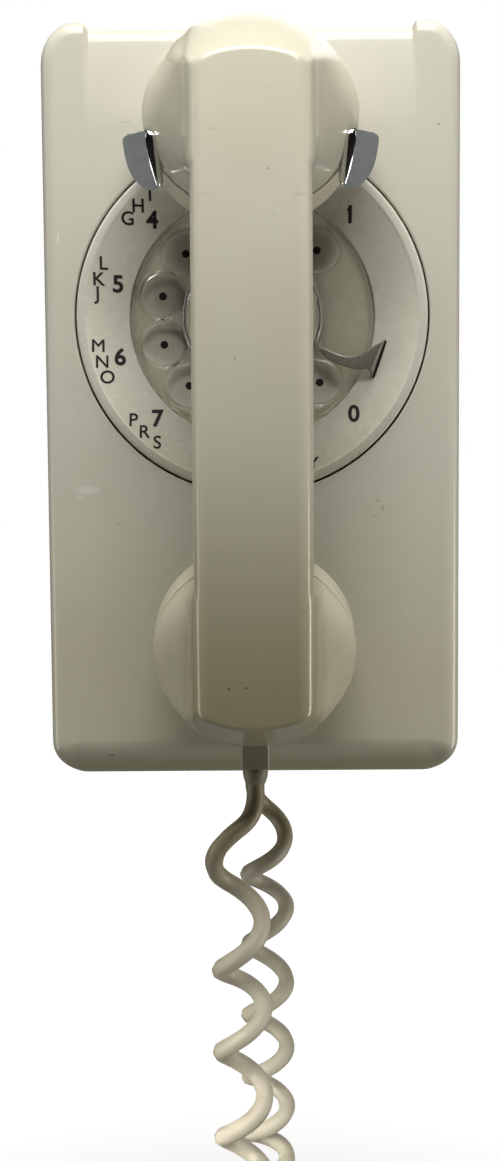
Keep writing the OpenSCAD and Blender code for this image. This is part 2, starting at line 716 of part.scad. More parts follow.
// Plan of one arm in its own frame: X to the side, Y the distance from the pivot
module arm_plan() {
    x0 = arm_x - arm_jog;
    polygon([[x0, 0], [x0, jog_start], [arm_x, jog_end], [arm_x, arm_reach + eps],
             [arm_x + arm_t, arm_reach + eps], [arm_x + arm_t, jog_end], [x0 + arm_t, jog_start], [x0 + arm_t, 0]]);
}
// Outline of one ear: wide at the top, narrowing below
ear_in = 28.8;
ear_out = 38.6;
module ear_outline() {
    polygon([[ear_in, 3.6], [ear_in + 0.8, 4.4], [ear_out - 1.6, 3.4], [ear_out - 0.3, 2.2], [ear_out, 0.2],
             [ear_out - 0.8, -4.6], [ear_out - 2.4, -8.2], [ear_out - 4.8, -11], [ear_out - 7.4, -12.7],
             [ear_in + 1.4, -12.9], [ear_in + 0.3, -12]]);
}
module hook_yoke() {
    color([0.75, 0.77, 0.78]) translate([0, pivot_y, pivot_z]) rotate([arm_slope, 0, 0]) {
        mirrored() difference() {
            union() {
                translate([0, 0, -arm_h / 2]) linear_extrude(arm_h) mirror([0, 1]) arm_plan();
                xrod(arm_h / 2, arm_x - arm_jog, arm_x - arm_jog + arm_t);
                face(-arm_reach - ear_t, -arm_reach) ear_outline();
            }
            xrod(pivot_r + run_gap, 0, arm_x + 5);
            // Slanted inner flank of the ear
            translate([ear_in, -arm_reach - ear_t, 0]) rotate([0, 6, 0]) rotate([0, 0, 45])
                translate([-3.2, -2.2, -30]) cube([3.2, 4.4, 60]);
        }
        box(-arm_x + arm_jog + eps - arm_t, arm_x - arm_jog - eps + arm_t, -11, -8, -arm_h / 2, arm_h / 2);
    }
}

// ---------------------------------------------------------------- handset
// Frame of one end: origin at the seam's centre, Z towards the wall along the cap's axis
module receiver_end() translate([0, -seam_front, receiver_z]) rotate([-90 - cap_tilt, 0, 0]) children();
module transmitter_end() translate([0, -seam_front, transmitter_z]) rotate([-90 + cap_tilt, 0, 0]) children();
neck_gap = 2.9;
neck_t = 2.5;
shelf_z = -4;
seam_gap = 0.35;

// Thread ring on which a cap turns
module neck(r) {
    rotate_extrude($fn = 96) translate([r - neck_gap - neck_t, -3]) square([neck_t, 10]);
}
module bowl_hollow(r) {
    rotate_extrude($fn = 96) polygon([[0, 8], [r - neck_gap - neck_t, 8], [r - neck_gap - neck_t, shelf_z],
        [r - 9.5, shelf_z], [r - 10.5, -9.5], [r - 18, -17], [0, -18]]);
}
module cap(r) {
    rotate_extrude($fn = 96) polygon(concat(
        [[r - 2.5, seam_gap], [r, seam_gap]], arc(r - cap_edge_r, cap_t - cap_edge_r, cap_edge_r, 0, 90, 5),
        [[r - 5.5, cap_t], [r - 12, cap_t - 1.4], [0, cap_t - 1.6], [0, cap_t - 3.9], [r - 12, cap_t - 3.7],
         [r - 6.5, cap_t - 2.6], [r - 3.4, cap_t - 3.4], [r - 2.5, cap_t - 5]]));
}
module cap_holes(rings) {
    for (ring = rings, i = [0:ring[1] - 1]) translate([0, 0, cap_t - 6])
        rotate(i * 360 / ring[1]) translate([ring[0], 0, 0]) cylinder(r = ring[2], h = 8, $fn = 24);
}

// Handle, as level slices from the lower end to the upper one
mid_z = (receiver_z + transmitter_z) / 2;
face_end = end_gap / 2 + 9.35;
low_end = face_end + 7.4;
crown = 5;
bevel_w = 2.4;
form_start = 60;
function front_at(u) = handle_front - crown * pow(u / face_end, 2);
function back_at(u) = handle_front - handle_t - 7 * pow(min(abs(u), form_start) / 48, 2);
function slice(u, inset = 0) = let (w = handle_w / 2 - inset, f = front_at(u) - inset, b = back_at(u) + inset, c = bevel_w, e = 5)
    [[-w + c, f], [-w, f - c], [-w, b + e], [-w + e * 0.3, b + e * 0.3], [-w + e, b],
     [w - e, b], [w - e * 0.3, b + e * 0.3], [w, b + e], [w, f - c], [w - c, f]];
function level_row(u, inset = 0) = [for (p = slice(u, inset)) [p[0], -p[1], -u]];
// Joins rows of points, each of n points, into one closed skin
module skin(rows) {
    n = len(rows[0]);
    m = len(rows);
    polyhedron(
        points = [for (row = rows, p = row) p],
        faces = concat(
            [[for (j = [0:n - 1]) j]],
            [for (i = [0:m - 2], j = [0:n - 1]) let (k = (j + 1) % n) [i * n + j, (i + 1) * n + j, (i + 1) * n + k]],
            [for (i = [0:m - 2], j = [0:n - 1]) let (k = (j + 1) % n) [i * n + j, (i + 1) * n + k, i * n + k]],
            [[for (j = [n - 1:-1:0]) (m - 1) * n + j]]));
}
module handle() translate([0, 0, mid_z])
    skin(concat([level_row(-form_start - 1, 0.4)], [for (i = [-8:8]) level_row(i * form_start / 8)], [level_row(form_start + 1, 0.4)]));
// One end of the body: from the round seam to the square end of the handle, measured from the handset's middle
arch_r = 36.4;
function arch(r, half, top) = [for (i = [-4:4]) let (x = half * i / 4) [x, top - r + sqrt(r * r - x * x)]];
module end_form(r, end) {
    w = handle_w / 2 - bevel_w;
    corner_u = end - arch_r + sqrt(arch_r * arch_r - w * w);
    seam_top = end_gap / 2 + r * cos(cap_tilt);
    half_way = (seam_front - r * sin(cap_tilt) + front_at(end)) / 2;
    hull() {
        translate([0, -seam_front, end_gap / 2]) rotate([-90 - cap_tilt, 0, 0]) translate([0, 0, -2.5]) cylinder(r = r, h = 2.5, $fn = 96);
        mirror([0, 0, 1]) skin([level_row(form_start), level_row(corner_u)]);
        face(-front_at(end), -front_at(end) + 0.5) polygon(arch(arch_r, w, end));
        face(-half_way, -half_way + 0.5) polygon(arch(r + 2, 19, (seam_top + end) / 2 + (end > face_end ? 0.8 : 2.2)));
    }
}

boot_top = transmitter_z - transmitter_r * cos(cap_tilt) + 6;
boot_w = 8.6;
boot_d = 7.6;
boot_len = 10;
bulb_len = 6;
boot_end = boot_top - boot_len - bulb_len;
module boot_block(gap) {
    box(-boot_w / 2 - gap, boot_w / 2 + gap, boot_y - boot_d / 2 - gap, boot_y + boot_d / 2 + gap,
        boot_top - boot_len, boot_top + gap);
}
module handset_body() {
    color([0.83, 0.81, 0.74]) difference() {
        union() {
            translate([0, 0, mid_z]) end_form(receiver_r, face_end);
            translate([0, 0, mid_z]) mirror([0, 0, 1]) end_form(transmitter_r, low_end);
            receiver_end() neck(receiver_r);
            transmitter_end() neck(transmitter_r);
            handle();
        }
        receiver_end() bowl_hollow(receiver_r);
        transmitter_end() bowl_hollow(transmitter_r);
        boot_block(0.1);
        // Wire way through the handle
        side(-5, 5) polygon(concat(
            [for (i = [-10:10]) let (u = i * 7.6) [-(front_at(u) - 7), mid_z + u]],
            [for (i = [10:-1:-10]) let (u = i * 7.6) [-(back_at(u) + 4.5), mid_z + u]]));
    }
}
module receiver_cap() {
    color([0.83, 0.81, 0.74]) receiver_end() difference() {
        cap(receiver_r);
        cap_holes([[0, 1, 1.1], [4.5, 6, 1.1]]);
    }
}
module transmitter_cap() {
    color([0.83, 0.81, 0.74]) transmitter_end() difference() {
        cap(transmitter_r);
        cap_holes([[0, 1, 1.3], [5, 6, 1.3], [10, 12, 1.3]]);
    }
}
module unit(r, z0, z1) {
    rotate_extrude($fn = 72) polygon([[0, z0], [r, z0], [r, z1 - 2], [r - 3, z1 - 2], [r - 4, z1], [0, z1]]);
}
module receiver_unit() {
    color("dimgray") receiver_end() unit(receiver_r - 6.2, shelf_z, cap_t - 4.6);
}
module transmitter_unit() {
    color([0.3, 0.3, 0.3]) transmitter_end() unit(transmitter_r - 6.4, shelf_z + 3.5, cap_t - 4.6);
}
module transmitter_cup() {
    color([0.15, 0.14, 0.13]) transmitter_end() difference() {
        translate([0, 0, shelf_z]) cylinder(r = transmitter_r - 6, h = 3.5, $fn = 72);
        translate([0, 0, shelf_z + 1.4]) cylinder(r = 9, h = 3, $fn = 48);
        for (s = [-1, 1]) translate([s * 14, 0, shelf_z - 1]) cylinder(r = 1.8, h = 6, $fn = 24);
    }
}
module handset_boot() {
    color([0.55, 0.53, 0.42]) {
        boot_block(0);
        translate([0, boot_y, boot_end])
            cylinder(r1 = wire_d / 2 + 0.5, r2 = boot_d / 2, h = bulb_len + eps, $fn = 48);
    }
}

// ---------------------------------------------------------------- cord
module cord_grommet() {
    color([0.3, 0.29, 0.26]) {
        zrod(grommet_r - 0.1, bottom_z - grommet_drop, bottom_z + wall + 1.2, 0, cord_exit_y);
        zrod(grommet_r + 1.5, bottom_z - 1.4, bottom_z - 0.1, 0, cord_exit_y);
        zrod(grommet_r + 1.5, bottom_z + wall + 0.1, bottom_z + wall + 1.4, 0, cord_exit_y);
    }
}
// Route of the curly cord from the handset to the housing: X, Y, Z and radius
wire_r = wire_d / 2;
coil_r = coil_d / 2;
cord_route = [
    [0, boot_y, boot_end, wire_r], [-1, -97.5, -122, wire_r], [-3, -98, -130, wire_r + 0.6],
    [-4, -98, -138, coil_r], [-4, -98, -170, coil_r], [-4, -95, -210, coil_r], [-3, -92, -260, coil_r], [-3, -89, -310, coil_r],
    [-2, -86, -350, coil_r], [-1, -81, -374, coil_r], [0, -72, -390, coil_r], [0, -62, -396, coil_r], [0, -51, -391, coil_r],
    [1, -42, -375, coil_r], [2, -37, -350, coil_r], [3, -34, -310, coil_r], [3, -33, -260, coil_r], [3, -33, -210, coil_r],
    [3, -33, -170, coil_r], [2, -33, -141, coil_r], [1, -34, -133, wire_r + 0.6], [0, cord_exit_y, -126, wire_r],
    [0, cord_exit_y, bottom_z - grommet_drop, wire_r]];
cord_sides = 10;
function route_dir(i) = let (a = cord_route[max(0, i - 1)], b = cord_route[min(len(cord_route) - 1, i + 1)],
    d = [b[0] - a[0], b[1] - a[1], b[2] - a[2]]) d / norm(d);
// Ring of points across the route; the route bends in planes that hold X nearly at right angles
function cord_ring(i) = let (p = cord_route[i], d = i == 0 ? [0, 0, -1] : i == len(cord_route) - 1 ? [0, 0, 1] : route_dir(i),
    side_dir = cross(d, [1, 0, 0]) / norm(cross(d, [1, 0, 0])), across = cross(side_dir, d))
    [for (k = [0:cord_sides - 1]) let (a = 360 * k / cord_sides)
        [p[0], p[1], p[2]] + p[3] * (cos(a) * across + sin(a) * side_dir)];
module handset_cord() {
    color([0.75, 0.72, 0.62]) skin([for (i = [0:len(cord_route) - 1]) cord_ring(i)]);
}

base_plate();
housing();
housing_screw();
dial_bracket();
dial_frame();
number_plate();
finger_stop();
bearing_bridge();
dial_screws();
main_spring();
pulse_contacts();
governor_cup();
finger_wheel();
card_holder();
number_card();
main_shaft();
main_gear();
pulse_cam();
intermediate_gear();
governor_rotor();
network_case();
terminal_board();
terminal_screws();
ringer_frame();
ringer_coil();
ringer_core();
ringer_magnet();
gong_large();
gong_small();
gong_screws();
clapper();
volume_wheel();
hook_bracket();
hook_pin();
hook_spring();
hook_contacts();
hook_yoke();
handset_body();
receiver_cap();
transmitter_cap();
receiver_unit();
transmitter_unit();
transmitter_cup();
handset_boot();
cord_grommet();
handset_cord();
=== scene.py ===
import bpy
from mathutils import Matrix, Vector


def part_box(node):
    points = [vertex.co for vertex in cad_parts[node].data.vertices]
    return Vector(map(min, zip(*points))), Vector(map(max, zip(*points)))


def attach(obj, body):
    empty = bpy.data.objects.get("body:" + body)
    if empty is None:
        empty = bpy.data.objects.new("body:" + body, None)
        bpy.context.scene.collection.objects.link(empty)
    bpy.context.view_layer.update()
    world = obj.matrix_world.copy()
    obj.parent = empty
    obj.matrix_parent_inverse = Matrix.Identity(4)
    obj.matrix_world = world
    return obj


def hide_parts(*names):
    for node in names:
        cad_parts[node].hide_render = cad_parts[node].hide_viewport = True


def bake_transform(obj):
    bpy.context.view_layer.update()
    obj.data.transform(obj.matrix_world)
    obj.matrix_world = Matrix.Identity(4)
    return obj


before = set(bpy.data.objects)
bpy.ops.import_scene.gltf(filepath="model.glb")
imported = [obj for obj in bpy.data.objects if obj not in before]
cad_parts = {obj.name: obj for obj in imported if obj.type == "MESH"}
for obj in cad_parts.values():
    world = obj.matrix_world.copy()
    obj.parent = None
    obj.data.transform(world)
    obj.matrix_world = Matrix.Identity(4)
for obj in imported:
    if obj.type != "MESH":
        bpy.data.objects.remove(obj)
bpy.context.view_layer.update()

import bisect
import math

import bmesh
import bpy
import numpy as np
from bpy.props import FloatProperty, FloatVectorProperty, IntProperty, PointerProperty
from bpy.types import Operator, Panel, PropertyGroup
from mathutils import Matrix, Vector

bl_info = {
    "name": "Rotary Wall Telephone",
    "version": (1, 0, 0),
    "blender": (4, 5, 0),
    "location": "View3D > Sidebar > Telephone",
    "description": "Dresses the packed wall telephone with its finished pieces and materials",
    "category": "Object",
}

MM = 0.001
TURN = 2 * math.pi


# ---------------------------------------------------------------- sizes and colours

def length(name, description, value, low, high):
    """A length setting, given in millimetres."""
    return FloatProperty(name=name, description=description, default=value * MM, min=low * MM, max=high * MM,
                         unit="LENGTH")


class PhoneSizes(PropertyGroup):
    wire_radius: length("Wire radius", "Radius of the jacketed wire of the curly cord", 2.8, 2, 4)
    coil_radius: length("Coil radius", "Radius of the coils, measured to the middle of the wire", 6.6, 4, 10)
    hidden_turns: IntProperty(
        name="Turns in the loop", description="Turns of the cord in the part below the two stretched lengths",
        default=31, min=10, max=40)
    digit_height: length("Digit height", "Height of the large digits on the number plate", 5.3, 3, 8)
    letter_height: length("Letter height", "Height of the letters on the number plate", 4.2, 2, 6)
    lamp_power: FloatProperty(
        name="Key light power", description="Power of the large light above the object",
        default=5.0, min=0.0, max=100.0, unit="POWER")


def colour(name, description, value):
    return FloatVectorProperty(name=name, description=description, default=value, subtype="COLOR", size=3, min=0, max=1)


class PhoneColours(PropertyGroup):
    housing: colour("Housing", "Moulded plastic of the housing", (0.60, 0.585, 0.50))
    handset: colour("Handset", "Moulded plastic of the handset", (0.62, 0.60, 0.485))
    dial: colour("Number plate", "Moulded plastic of the number plate", (0.63, 0.61, 0.53))
    cord: colour("Cord", "Jacket of the curly cord", (0.56, 0.52, 0.41))
    print_black: colour("Characters", "Ink of the characters and dots", (0.02, 0.02, 0.02))
    hook: colour("Hook", "Dull plated steel of the hook's ears", (0.26, 0.275, 0.285))
    chrome: colour("Chrome", "Bright plating", (0.75, 0.76, 0.77))
    floor: colour("Floor", "Floor under the object", (0.35, 0.35, 0.35))


# ---------------------------------------------------------------- mesh helpers

def smooth_step(x, low, high):
    t = min(max((x - low) / (high - low), 0.0), 1.0)
    return t * t * (3 - 2 * t)


def link(name, mesh):
    piece = bpy.data.objects.new(name, mesh)
    bpy.context.scene.collection.objects.link(piece)
    return piece


def as_mesh(piece):
    """A new mesh of an object with its modifiers applied."""
    return bpy.data.meshes.new_from_object(piece.evaluated_get(bpy.context.evaluated_depsgraph_get()))


def to_mesh(bm, name):
    """A new mesh of a bmesh, which is freed."""
    mesh = bpy.data.meshes.new(name)
    bm.to_mesh(mesh)
    bm.free()
    return mesh


def to_bmesh(mesh):
    """A bmesh of a mesh, which is removed."""
    bm = bmesh.new()
    bm.from_mesh(mesh)
    bpy.data.meshes.remove(mesh)
    return bm


def joined(parts):
    """All the bmeshes as one, left as separate shells."""
    first = parts[0]
    for one in parts[1:]:
        mesh = to_mesh(one, "part")
        first.from_mesh(mesh)
        bpy.data.meshes.remove(mesh)
    return first


def carved(bm, *tools):
    """The bmesh less each tool by an exact boolean, all of them closed and in millimetres."""
    for tool in tools:
        pair = []
        for one in (bm, tool):
            bmesh.ops.recalc_face_normals(one, faces=one.faces)
            pair.append(link("carve", to_mesh(one, "carve")))
        modifier = pair[0].modifiers.new("carve", "BOOLEAN")
        modifier.object, modifier.operation, modifier.solver = pair[1], "DIFFERENCE", "EXACT"
        bm = to_bmesh(as_mesh(pair[0]))
        bmesh.ops.remove_doubles(bm, verts=bm.verts, dist=0.001)
        bmesh.ops.dissolve_degenerate(bm, dist=0.001, edges=bm.edges)
        for one in pair:
            mesh = one.data
            bpy.data.objects.remove(one)
            bpy.data.meshes.remove(mesh)
    return bm


def bevel(bm, edges, offset, segments, **settings):
    bmesh.ops.bevel(bm, geom=edges, offset=offset, segments=segments, profile=0.5, affect="EDGES", material=-1,
                    **settings)


def edges_along_y(bm):
    return [e for e in bm.edges if abs(e.verts[0].co.y - e.verts[1].co.y) > 1]


def block(low, high):
    """A box between two corners."""
    bm = bmesh.new()
    bmesh.ops.create_cube(bm, size=1.0)
    bmesh.ops.scale(bm, verts=bm.verts, vec=[b - a for a, b in zip(low, high)])
    bmesh.ops.translate(bm, verts=bm.verts, vec=[(a + b) / 2 for a, b in zip(low, high)])
    return bm


def cylinder(radius, depth, matrix, sides):
    """A closed cylinder along Z, placed by its middle."""
    bm = bmesh.new()
    bmesh.ops.create_cone(bm, cap_ends=True, segments=sides, radius1=radius, radius2=radius, depth=depth, matrix=matrix)
    return bm


def standing(x, y, radius, low, high, sides=40):
    """A cylinder along Z from low to high."""
    return cylinder(radius, high - low, Matrix.Translation((x, y, (low + high) / 2)), sides)


def rod(x, z, radius, front, back, sides):
    """A cylinder along Y from its front distance back to its back distance."""
    place = Matrix.Translation((x, -(front + back) / 2, z)) @ Matrix.Rotation(math.pi / 2, 4, "X")
    return cylinder(radius, front - back, place, sides)


def prism(outline, reach):
    """A solid made from a flat outline pushed along reach."""
    bm = bmesh.new()
    face = bm.faces.new([bm.verts.new(p) for p in outline])
    made = bmesh.ops.extrude_face_region(bm, geom=[face])["geom"]
    bmesh.ops.translate(bm, verts=[v for v in made if isinstance(v, bmesh.types.BMVert)], vec=reach)
    bmesh.ops.recalc_face_normals(bm, faces=bm.faces)
    return bm


def sheet(columns, rows, place):
    """A grid of vertices, each at place(column, row)."""
    bm = bmesh.new()
    bmesh.ops.create_grid(bm, x_segments=columns - 1, y_segments=rows - 1, size=0.5)
    for vert in bm.verts:
        vert.co = place(round((vert.co.x + 0.5) * (columns - 1)), round((vert.co.y + 0.5) * (rows - 1)))
    return bm


def thicken(bm, thickness):
    bmesh.ops.recalc_face_normals(bm, faces=bm.faces)
    bmesh.ops.solidify(bm, geom=bm.verts[:] + bm.edges[:] + bm.faces[:], thickness=thickness)


def rounded(points, radius, steps=4):
    """A line of (x, y) points with each inner corner rounded."""
    out = [points[0]]
    for before, corner, after in zip(points, points[1:], points[2:]):
        a, c, b = Vector(before), Vector(corner), Vector(after)
        reach = min(radius, (a - c).length * 0.45, (b - c).length * 0.45)
        start, end = c + (a - c).normalized() * reach, c + (b - c).normalized() * reach
        out += [tuple(start.lerp(c, t).lerp(c.lerp(end, t), t)) for t in (i / steps for i in range(steps + 1))]
    return out + [points[-1]]


def spun(points, closed, centre, axis, steps):
    """Spins a line of points once round an axis."""
    bm = bmesh.new()
    verts = [bm.verts.new(p) for p in points]
    for a, b in zip(verts, verts[1:] + verts[:1] if closed else verts[1:]):
        bm.edges.new((a, b))
    bmesh.ops.spin(bm, geom=bm.verts[:] + bm.edges[:], cent=centre, axis=axis, angle=TURN, steps=steps, use_merge=True)
    bmesh.ops.remove_doubles(bm, verts=bm.verts, dist=1e-4)
    bmesh.ops.recalc_face_normals(bm, faces=bm.faces)
    return bm


def lathe(profile, place, steps=96, closed=True):
    """Spins a profile of (radius, height) about Z and places it."""
    bm = spun([(r, 0.0, z) for r, z in profile], closed, (0, 0, 0), (0, 0, 1), steps)
    bmesh.ops.transform(bm, matrix=place, verts=bm.verts)
    return bm


def finish_piece(name, bm, body, finish, replaces=(), smooth=40.0, even=False):
    """Turns a bmesh in millimetres into a named piece that rides on a body.

    Edges sharper than smooth degrees stay sharp; even shading keeps large flat faces flat."""
    bmesh.ops.scale(bm, verts=bm.verts, vec=(MM, MM, MM))
    bmesh.ops.recalc_face_normals(bm, faces=bm.faces)
    limit = math.radians(smooth)
    for face in bm.faces:
        face.smooth = True
    for edge in bm.edges:
        edge.smooth = len(edge.link_faces) == 2 and edge.calc_face_angle(0.0) < limit
    mesh = to_mesh(bm, name)
    piece = link(name, mesh)
    if even:
        modifier = piece.modifiers.new("Even Shading", "WEIGHTED_NORMAL")
        modifier.keep_sharp, modifier.weight = True, 50
        piece.data = as_mesh(piece)
        piece.modifiers.clear()
        bpy.data.meshes.remove(mesh)
        mesh = piece.data
        mesh.name = name
    mesh.materials.append(FINISH[finish])
    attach(piece, body)
    if replaces:
        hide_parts(*replaces)
    return piece


# ---------------------------------------------------------------- cord

# Middle of the cord's coils, in millimetres: down from the handset's boot, round the loop and up to the grommet
FRONT_LENGTH = [(-0.4, -97.4, -119), (-2.2, -97.6, -124.5), (-5.2, -98, -131.5), (-6.2, -98, -139.5), (-5.2, -98, -150),
                (-4.6, -97.4, -168), (-4.5, -96, -190), (-4.4, -94.6, -215), (-4, -92.4, -255), (-3, -89, -310)]
LOOP = [(-2, -86, -350), (-1, -81, -374), (0, -72, -390), (0, -62, -396), (0, -51, -391), (1, -42, -375),
        (2, -37, -350)]
BACK_LENGTH = [(3, -34, -310), (3.6, -33, -260), (3.6, -33, -210), (3.7, -33, -170), (3.4, -33, -148),
               (2.2, -33.4, -138), (0.8, -33.9, -131), (0, -34, -126)]
# Height of the middle of the wire and turns made by there, from its bends to either side
FRONT_TURNS = [(-139.5, 0.5), (-157.8, 1.0), (-172.7, 1.5), (-185.4, 2.0), (-199.5, 2.5), (-213.9, 3.0), (-227.5, 3.5),
               (-241.5, 4.05)]
BACK_TURNS = [(-262.3, -5), (-243.8, -4), (-221.8, -3), (-198.9, -2), (-172.6, -1), (-147.9, 0)]
SEEN_TURNS = 9                   # turns in the two stretched lengths together
SWELL_IN, SWELL_OUT = 22, 24     # length over which the coils open at the boot and close at the grommet


def lengths(points):
    """The distance along a line at each of its points."""
    along = [0.0]
    for a, b in zip(points, points[1:]):
        along.append(along[-1] + (b - a).length)
    return along


def span_at(values, x):
    """Index of the span of rising values that x is in."""
    return min(max(bisect.bisect_right(values, x) - 1, 0), len(values) - 2)


def point_at(points, along, s):
    """The point at distance s along a line."""
    k = span_at(along, s)
    return points[k].lerp(points[k + 1], (s - along[k]) / max(along[k + 1] - along[k], 1e-9))


def catmull_rom(points, step, parts=24):
    """Even points along a smooth line through the given ones."""
    padded = [2 * points[0] - points[1], *points, 2 * points[-1] - points[-2]]
    fine = []
    for a, b, c, d in zip(padded, padded[1:], padded[2:], padded[3:]):
        for i in range(parts):
            t = i / parts
            fine.append(0.5 * (2 * b + (c - a) * t + (2 * a - 5 * b + 4 * c - d) * t * t
                               + (3 * b - a - 3 * c + d) * t ** 3))
    fine.append(points[-1])
    along = lengths(fine)
    count = max(2, round(along[-1] / step))
    return [point_at(fine, along, along[-1] * i / count) for i in range(count + 1)]


def monotone(xs, ys):
    """A smooth function through rising values that never turns back."""
    slopes = [(y1 - y0) / (x1 - x0) for x0, x1, y0, y1 in zip(xs, xs[1:], ys, ys[1:])]
    ends = [slopes[0], *(2 * a * b / (a + b) if a * b > 0 else 0.0 for a, b in zip(slopes, slopes[1:])), slopes[-1]]

    def value(x):
        k = span_at(xs, x)
        h = xs[k + 1] - xs[k]
        t = (x - xs[k]) / h
        return ((1 + 2 * t) * (1 - t) ** 2 * ys[k] + t * (1 - t) ** 2 * h * ends[k]
                + t * t * (3 - 2 * t) * ys[k + 1] + t * t * (t - 1) * h * ends[k + 1])
    return value


def cord_line(sizes):
    """Points of the middle of the wire, from the boot to the grommet."""
    boot_low, boot_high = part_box("handset_boot")
    grommet_low, grommet_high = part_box("cord_grommet")
    start, end = (Vector(((low.x + high.x) / 2, (low.y + high.y) / 2, low.z))
                  for low, high in ((boot_low, boot_high), (grommet_low, grommet_high)))
    route = [start, *(Vector(p) * MM for p in FRONT_LENGTH + LOOP + BACK_LENGTH), end]
    middle = catmull_rom(route, MM * 0.8)
    along = lengths(middle)
    total = along[-1]
    low = min(range(len(middle)), key=lambda i: middle[i].z)

    def length_at(height, front):
        span = range(0, low) if front else range(low, len(middle))
        return along[min(span, key=lambda i: abs(middle[i].z - height * MM))]
    whole = sizes.hidden_turns + SEEN_TURNS
    marks = [(0.0, 0.05)] + [(length_at(z, True), t) for z, t in FRONT_TURNS]
    marks += [(length_at(z, False), whole + t) for z, t in BACK_TURNS] + [(total, whole + 0.55)]
    turns = monotone([m[0] for m in marks], [m[1] for m in marks])
    points, count = [], round(total / (0.22 * MM))
    for i in range(count + 1):
        s = total * i / count
        k = span_at(along, s)
        ahead = (middle[min(k + 3, len(middle) - 1)] - middle[max(k - 3, 0)]).normalized()
        side = (Vector((1, 0, 0)) - ahead * ahead.x).normalized()
        other = ahead.cross(side)
        swell = smooth_step(s, 0, SWELL_IN * MM) * smooth_step(total - s, 0, SWELL_OUT * MM)
        angle = TURN * turns(s)
        points.append(point_at(middle, along, s)
                      + sizes.coil_radius * swell * (math.cos(angle) * side + math.sin(angle) * other))
    return points


def thin_out(points, spacing):
    """Leaves out points so that those kept are about evenly spaced."""
    kept = [points[0]]
    for p in points[1:-1]:
        if (p - kept[-1]).length >= spacing and (points[-1] - p).length >= spacing:
            kept.append(p)
    kept.append(points[-1])
    return kept


def tube(name, points, radius, sides=12):
    """A round tube along points, made from a curve and turned into a mesh."""
    curve = bpy.data.curves.new(name, "CURVE")
    curve.dimensions = "3D"
    curve.bevel_depth = radius
    curve.bevel_resolution = max(0, sides // 2 - 2) // 2
    curve.use_fill_caps = True
    line = curve.splines.new("POLY")
    line.points.add(len(points) - 1)
    for point, place in zip(line.points, points):
        point.co = (*place, 1)
    line.use_smooth = True
    made = link(name, curve)
    mesh = as_mesh(made)
    bpy.data.objects.remove(made)
    bpy.data.curves.remove(curve)
    mesh.name = name
    return mesh


# ---------------------------------------------------------------- material helpers

class Tree:
    """Adds nodes to one node tree, in a line each."""

    def __init__(self, tree):
        self.tree = tree

    def node(self, kind, inputs=(), **settings):
        made = self.tree.nodes.new(kind)
        for key, value in settings.items():
            setattr(made, key, value)
        for key, value in dict(inputs).items():
            self.feed(value, made.inputs[key])
        return made

    def feed(self, value, socket):
        if isinstance(value, bpy.types.NodeSocket):
            self.tree.links.new(value, socket)
        elif hasattr(socket.default_value, "__len__") and len(socket.default_value) == 4:
            socket.default_value = (*value[:3], 1.0)
        else:
            socket.default_value = value

    def maths(self, operation, a, b=0.0, clamp=False):
        return self.node("ShaderNodeMath", {0: a, 1: b}, operation=operation, use_clamp=clamp).outputs[0]

    def times(self, first, *others):
        for value in others:
            first = self.maths("MULTIPLY", first, value)
        return first

    def plus(self, a, b, clamp=False):
        return self.maths("ADD", a, b, clamp)

    def minus(self, a, b):
        return self.maths("SUBTRACT", a, b)

    def noise(self, vector, scale, detail=2.0, roughness=0.5, distortion=0.0):
        return self.node("ShaderNodeTexNoise", {"Vector": vector, "Scale": scale, "Detail": detail,
                                                "Roughness": roughness, "Distortion": distortion}).outputs[0]

    def band(self, value, low, high, to_low=0.0, to_high=1.0):
        """Turns the part of value from low to high into to_low to to_high, smoothly."""
        return self.node("ShaderNodeMapRange", {0: value, 1: low, 2: high, 3: to_low, 4: to_high},
                         interpolation_type="SMOOTHSTEP").outputs[0]

    def blend(self, factor, a, b):
        return self.node("ShaderNodeMix", {0: factor, 6: a, 7: b}, data_type="RGBA").outputs[2]

    def stretch(self, vector, scale, turn=(0, 0, 0)):
        return self.node("ShaderNodeMapping", {"Vector": vector, "Rotation": turn, "Scale": scale}).outputs[0]


def effect(name, inputs, outputs):
    """A new shader node group with named sockets, its tree and its two end nodes."""
    group = bpy.data.node_groups.new(name, "ShaderNodeTree")
    kinds = {"c": "NodeSocketColor", "f": "NodeSocketFloat", "v": "NodeSocketVector"}
    for key, (kind, value) in inputs.items():
        socket = group.interface.new_socket(key, in_out="INPUT", socket_type=kinds[kind])
        if value is not None:
            socket.default_value = (*value, 1.0) if kind == "c" else value
    for key, kind in outputs.items():
        group.interface.new_socket(key, in_out="OUTPUT", socket_type=kinds[kind])
    tree = Tree(group)
    return group, tree, tree.node("NodeGroupInput").outputs, tree.node("NodeGroupOutput").inputs


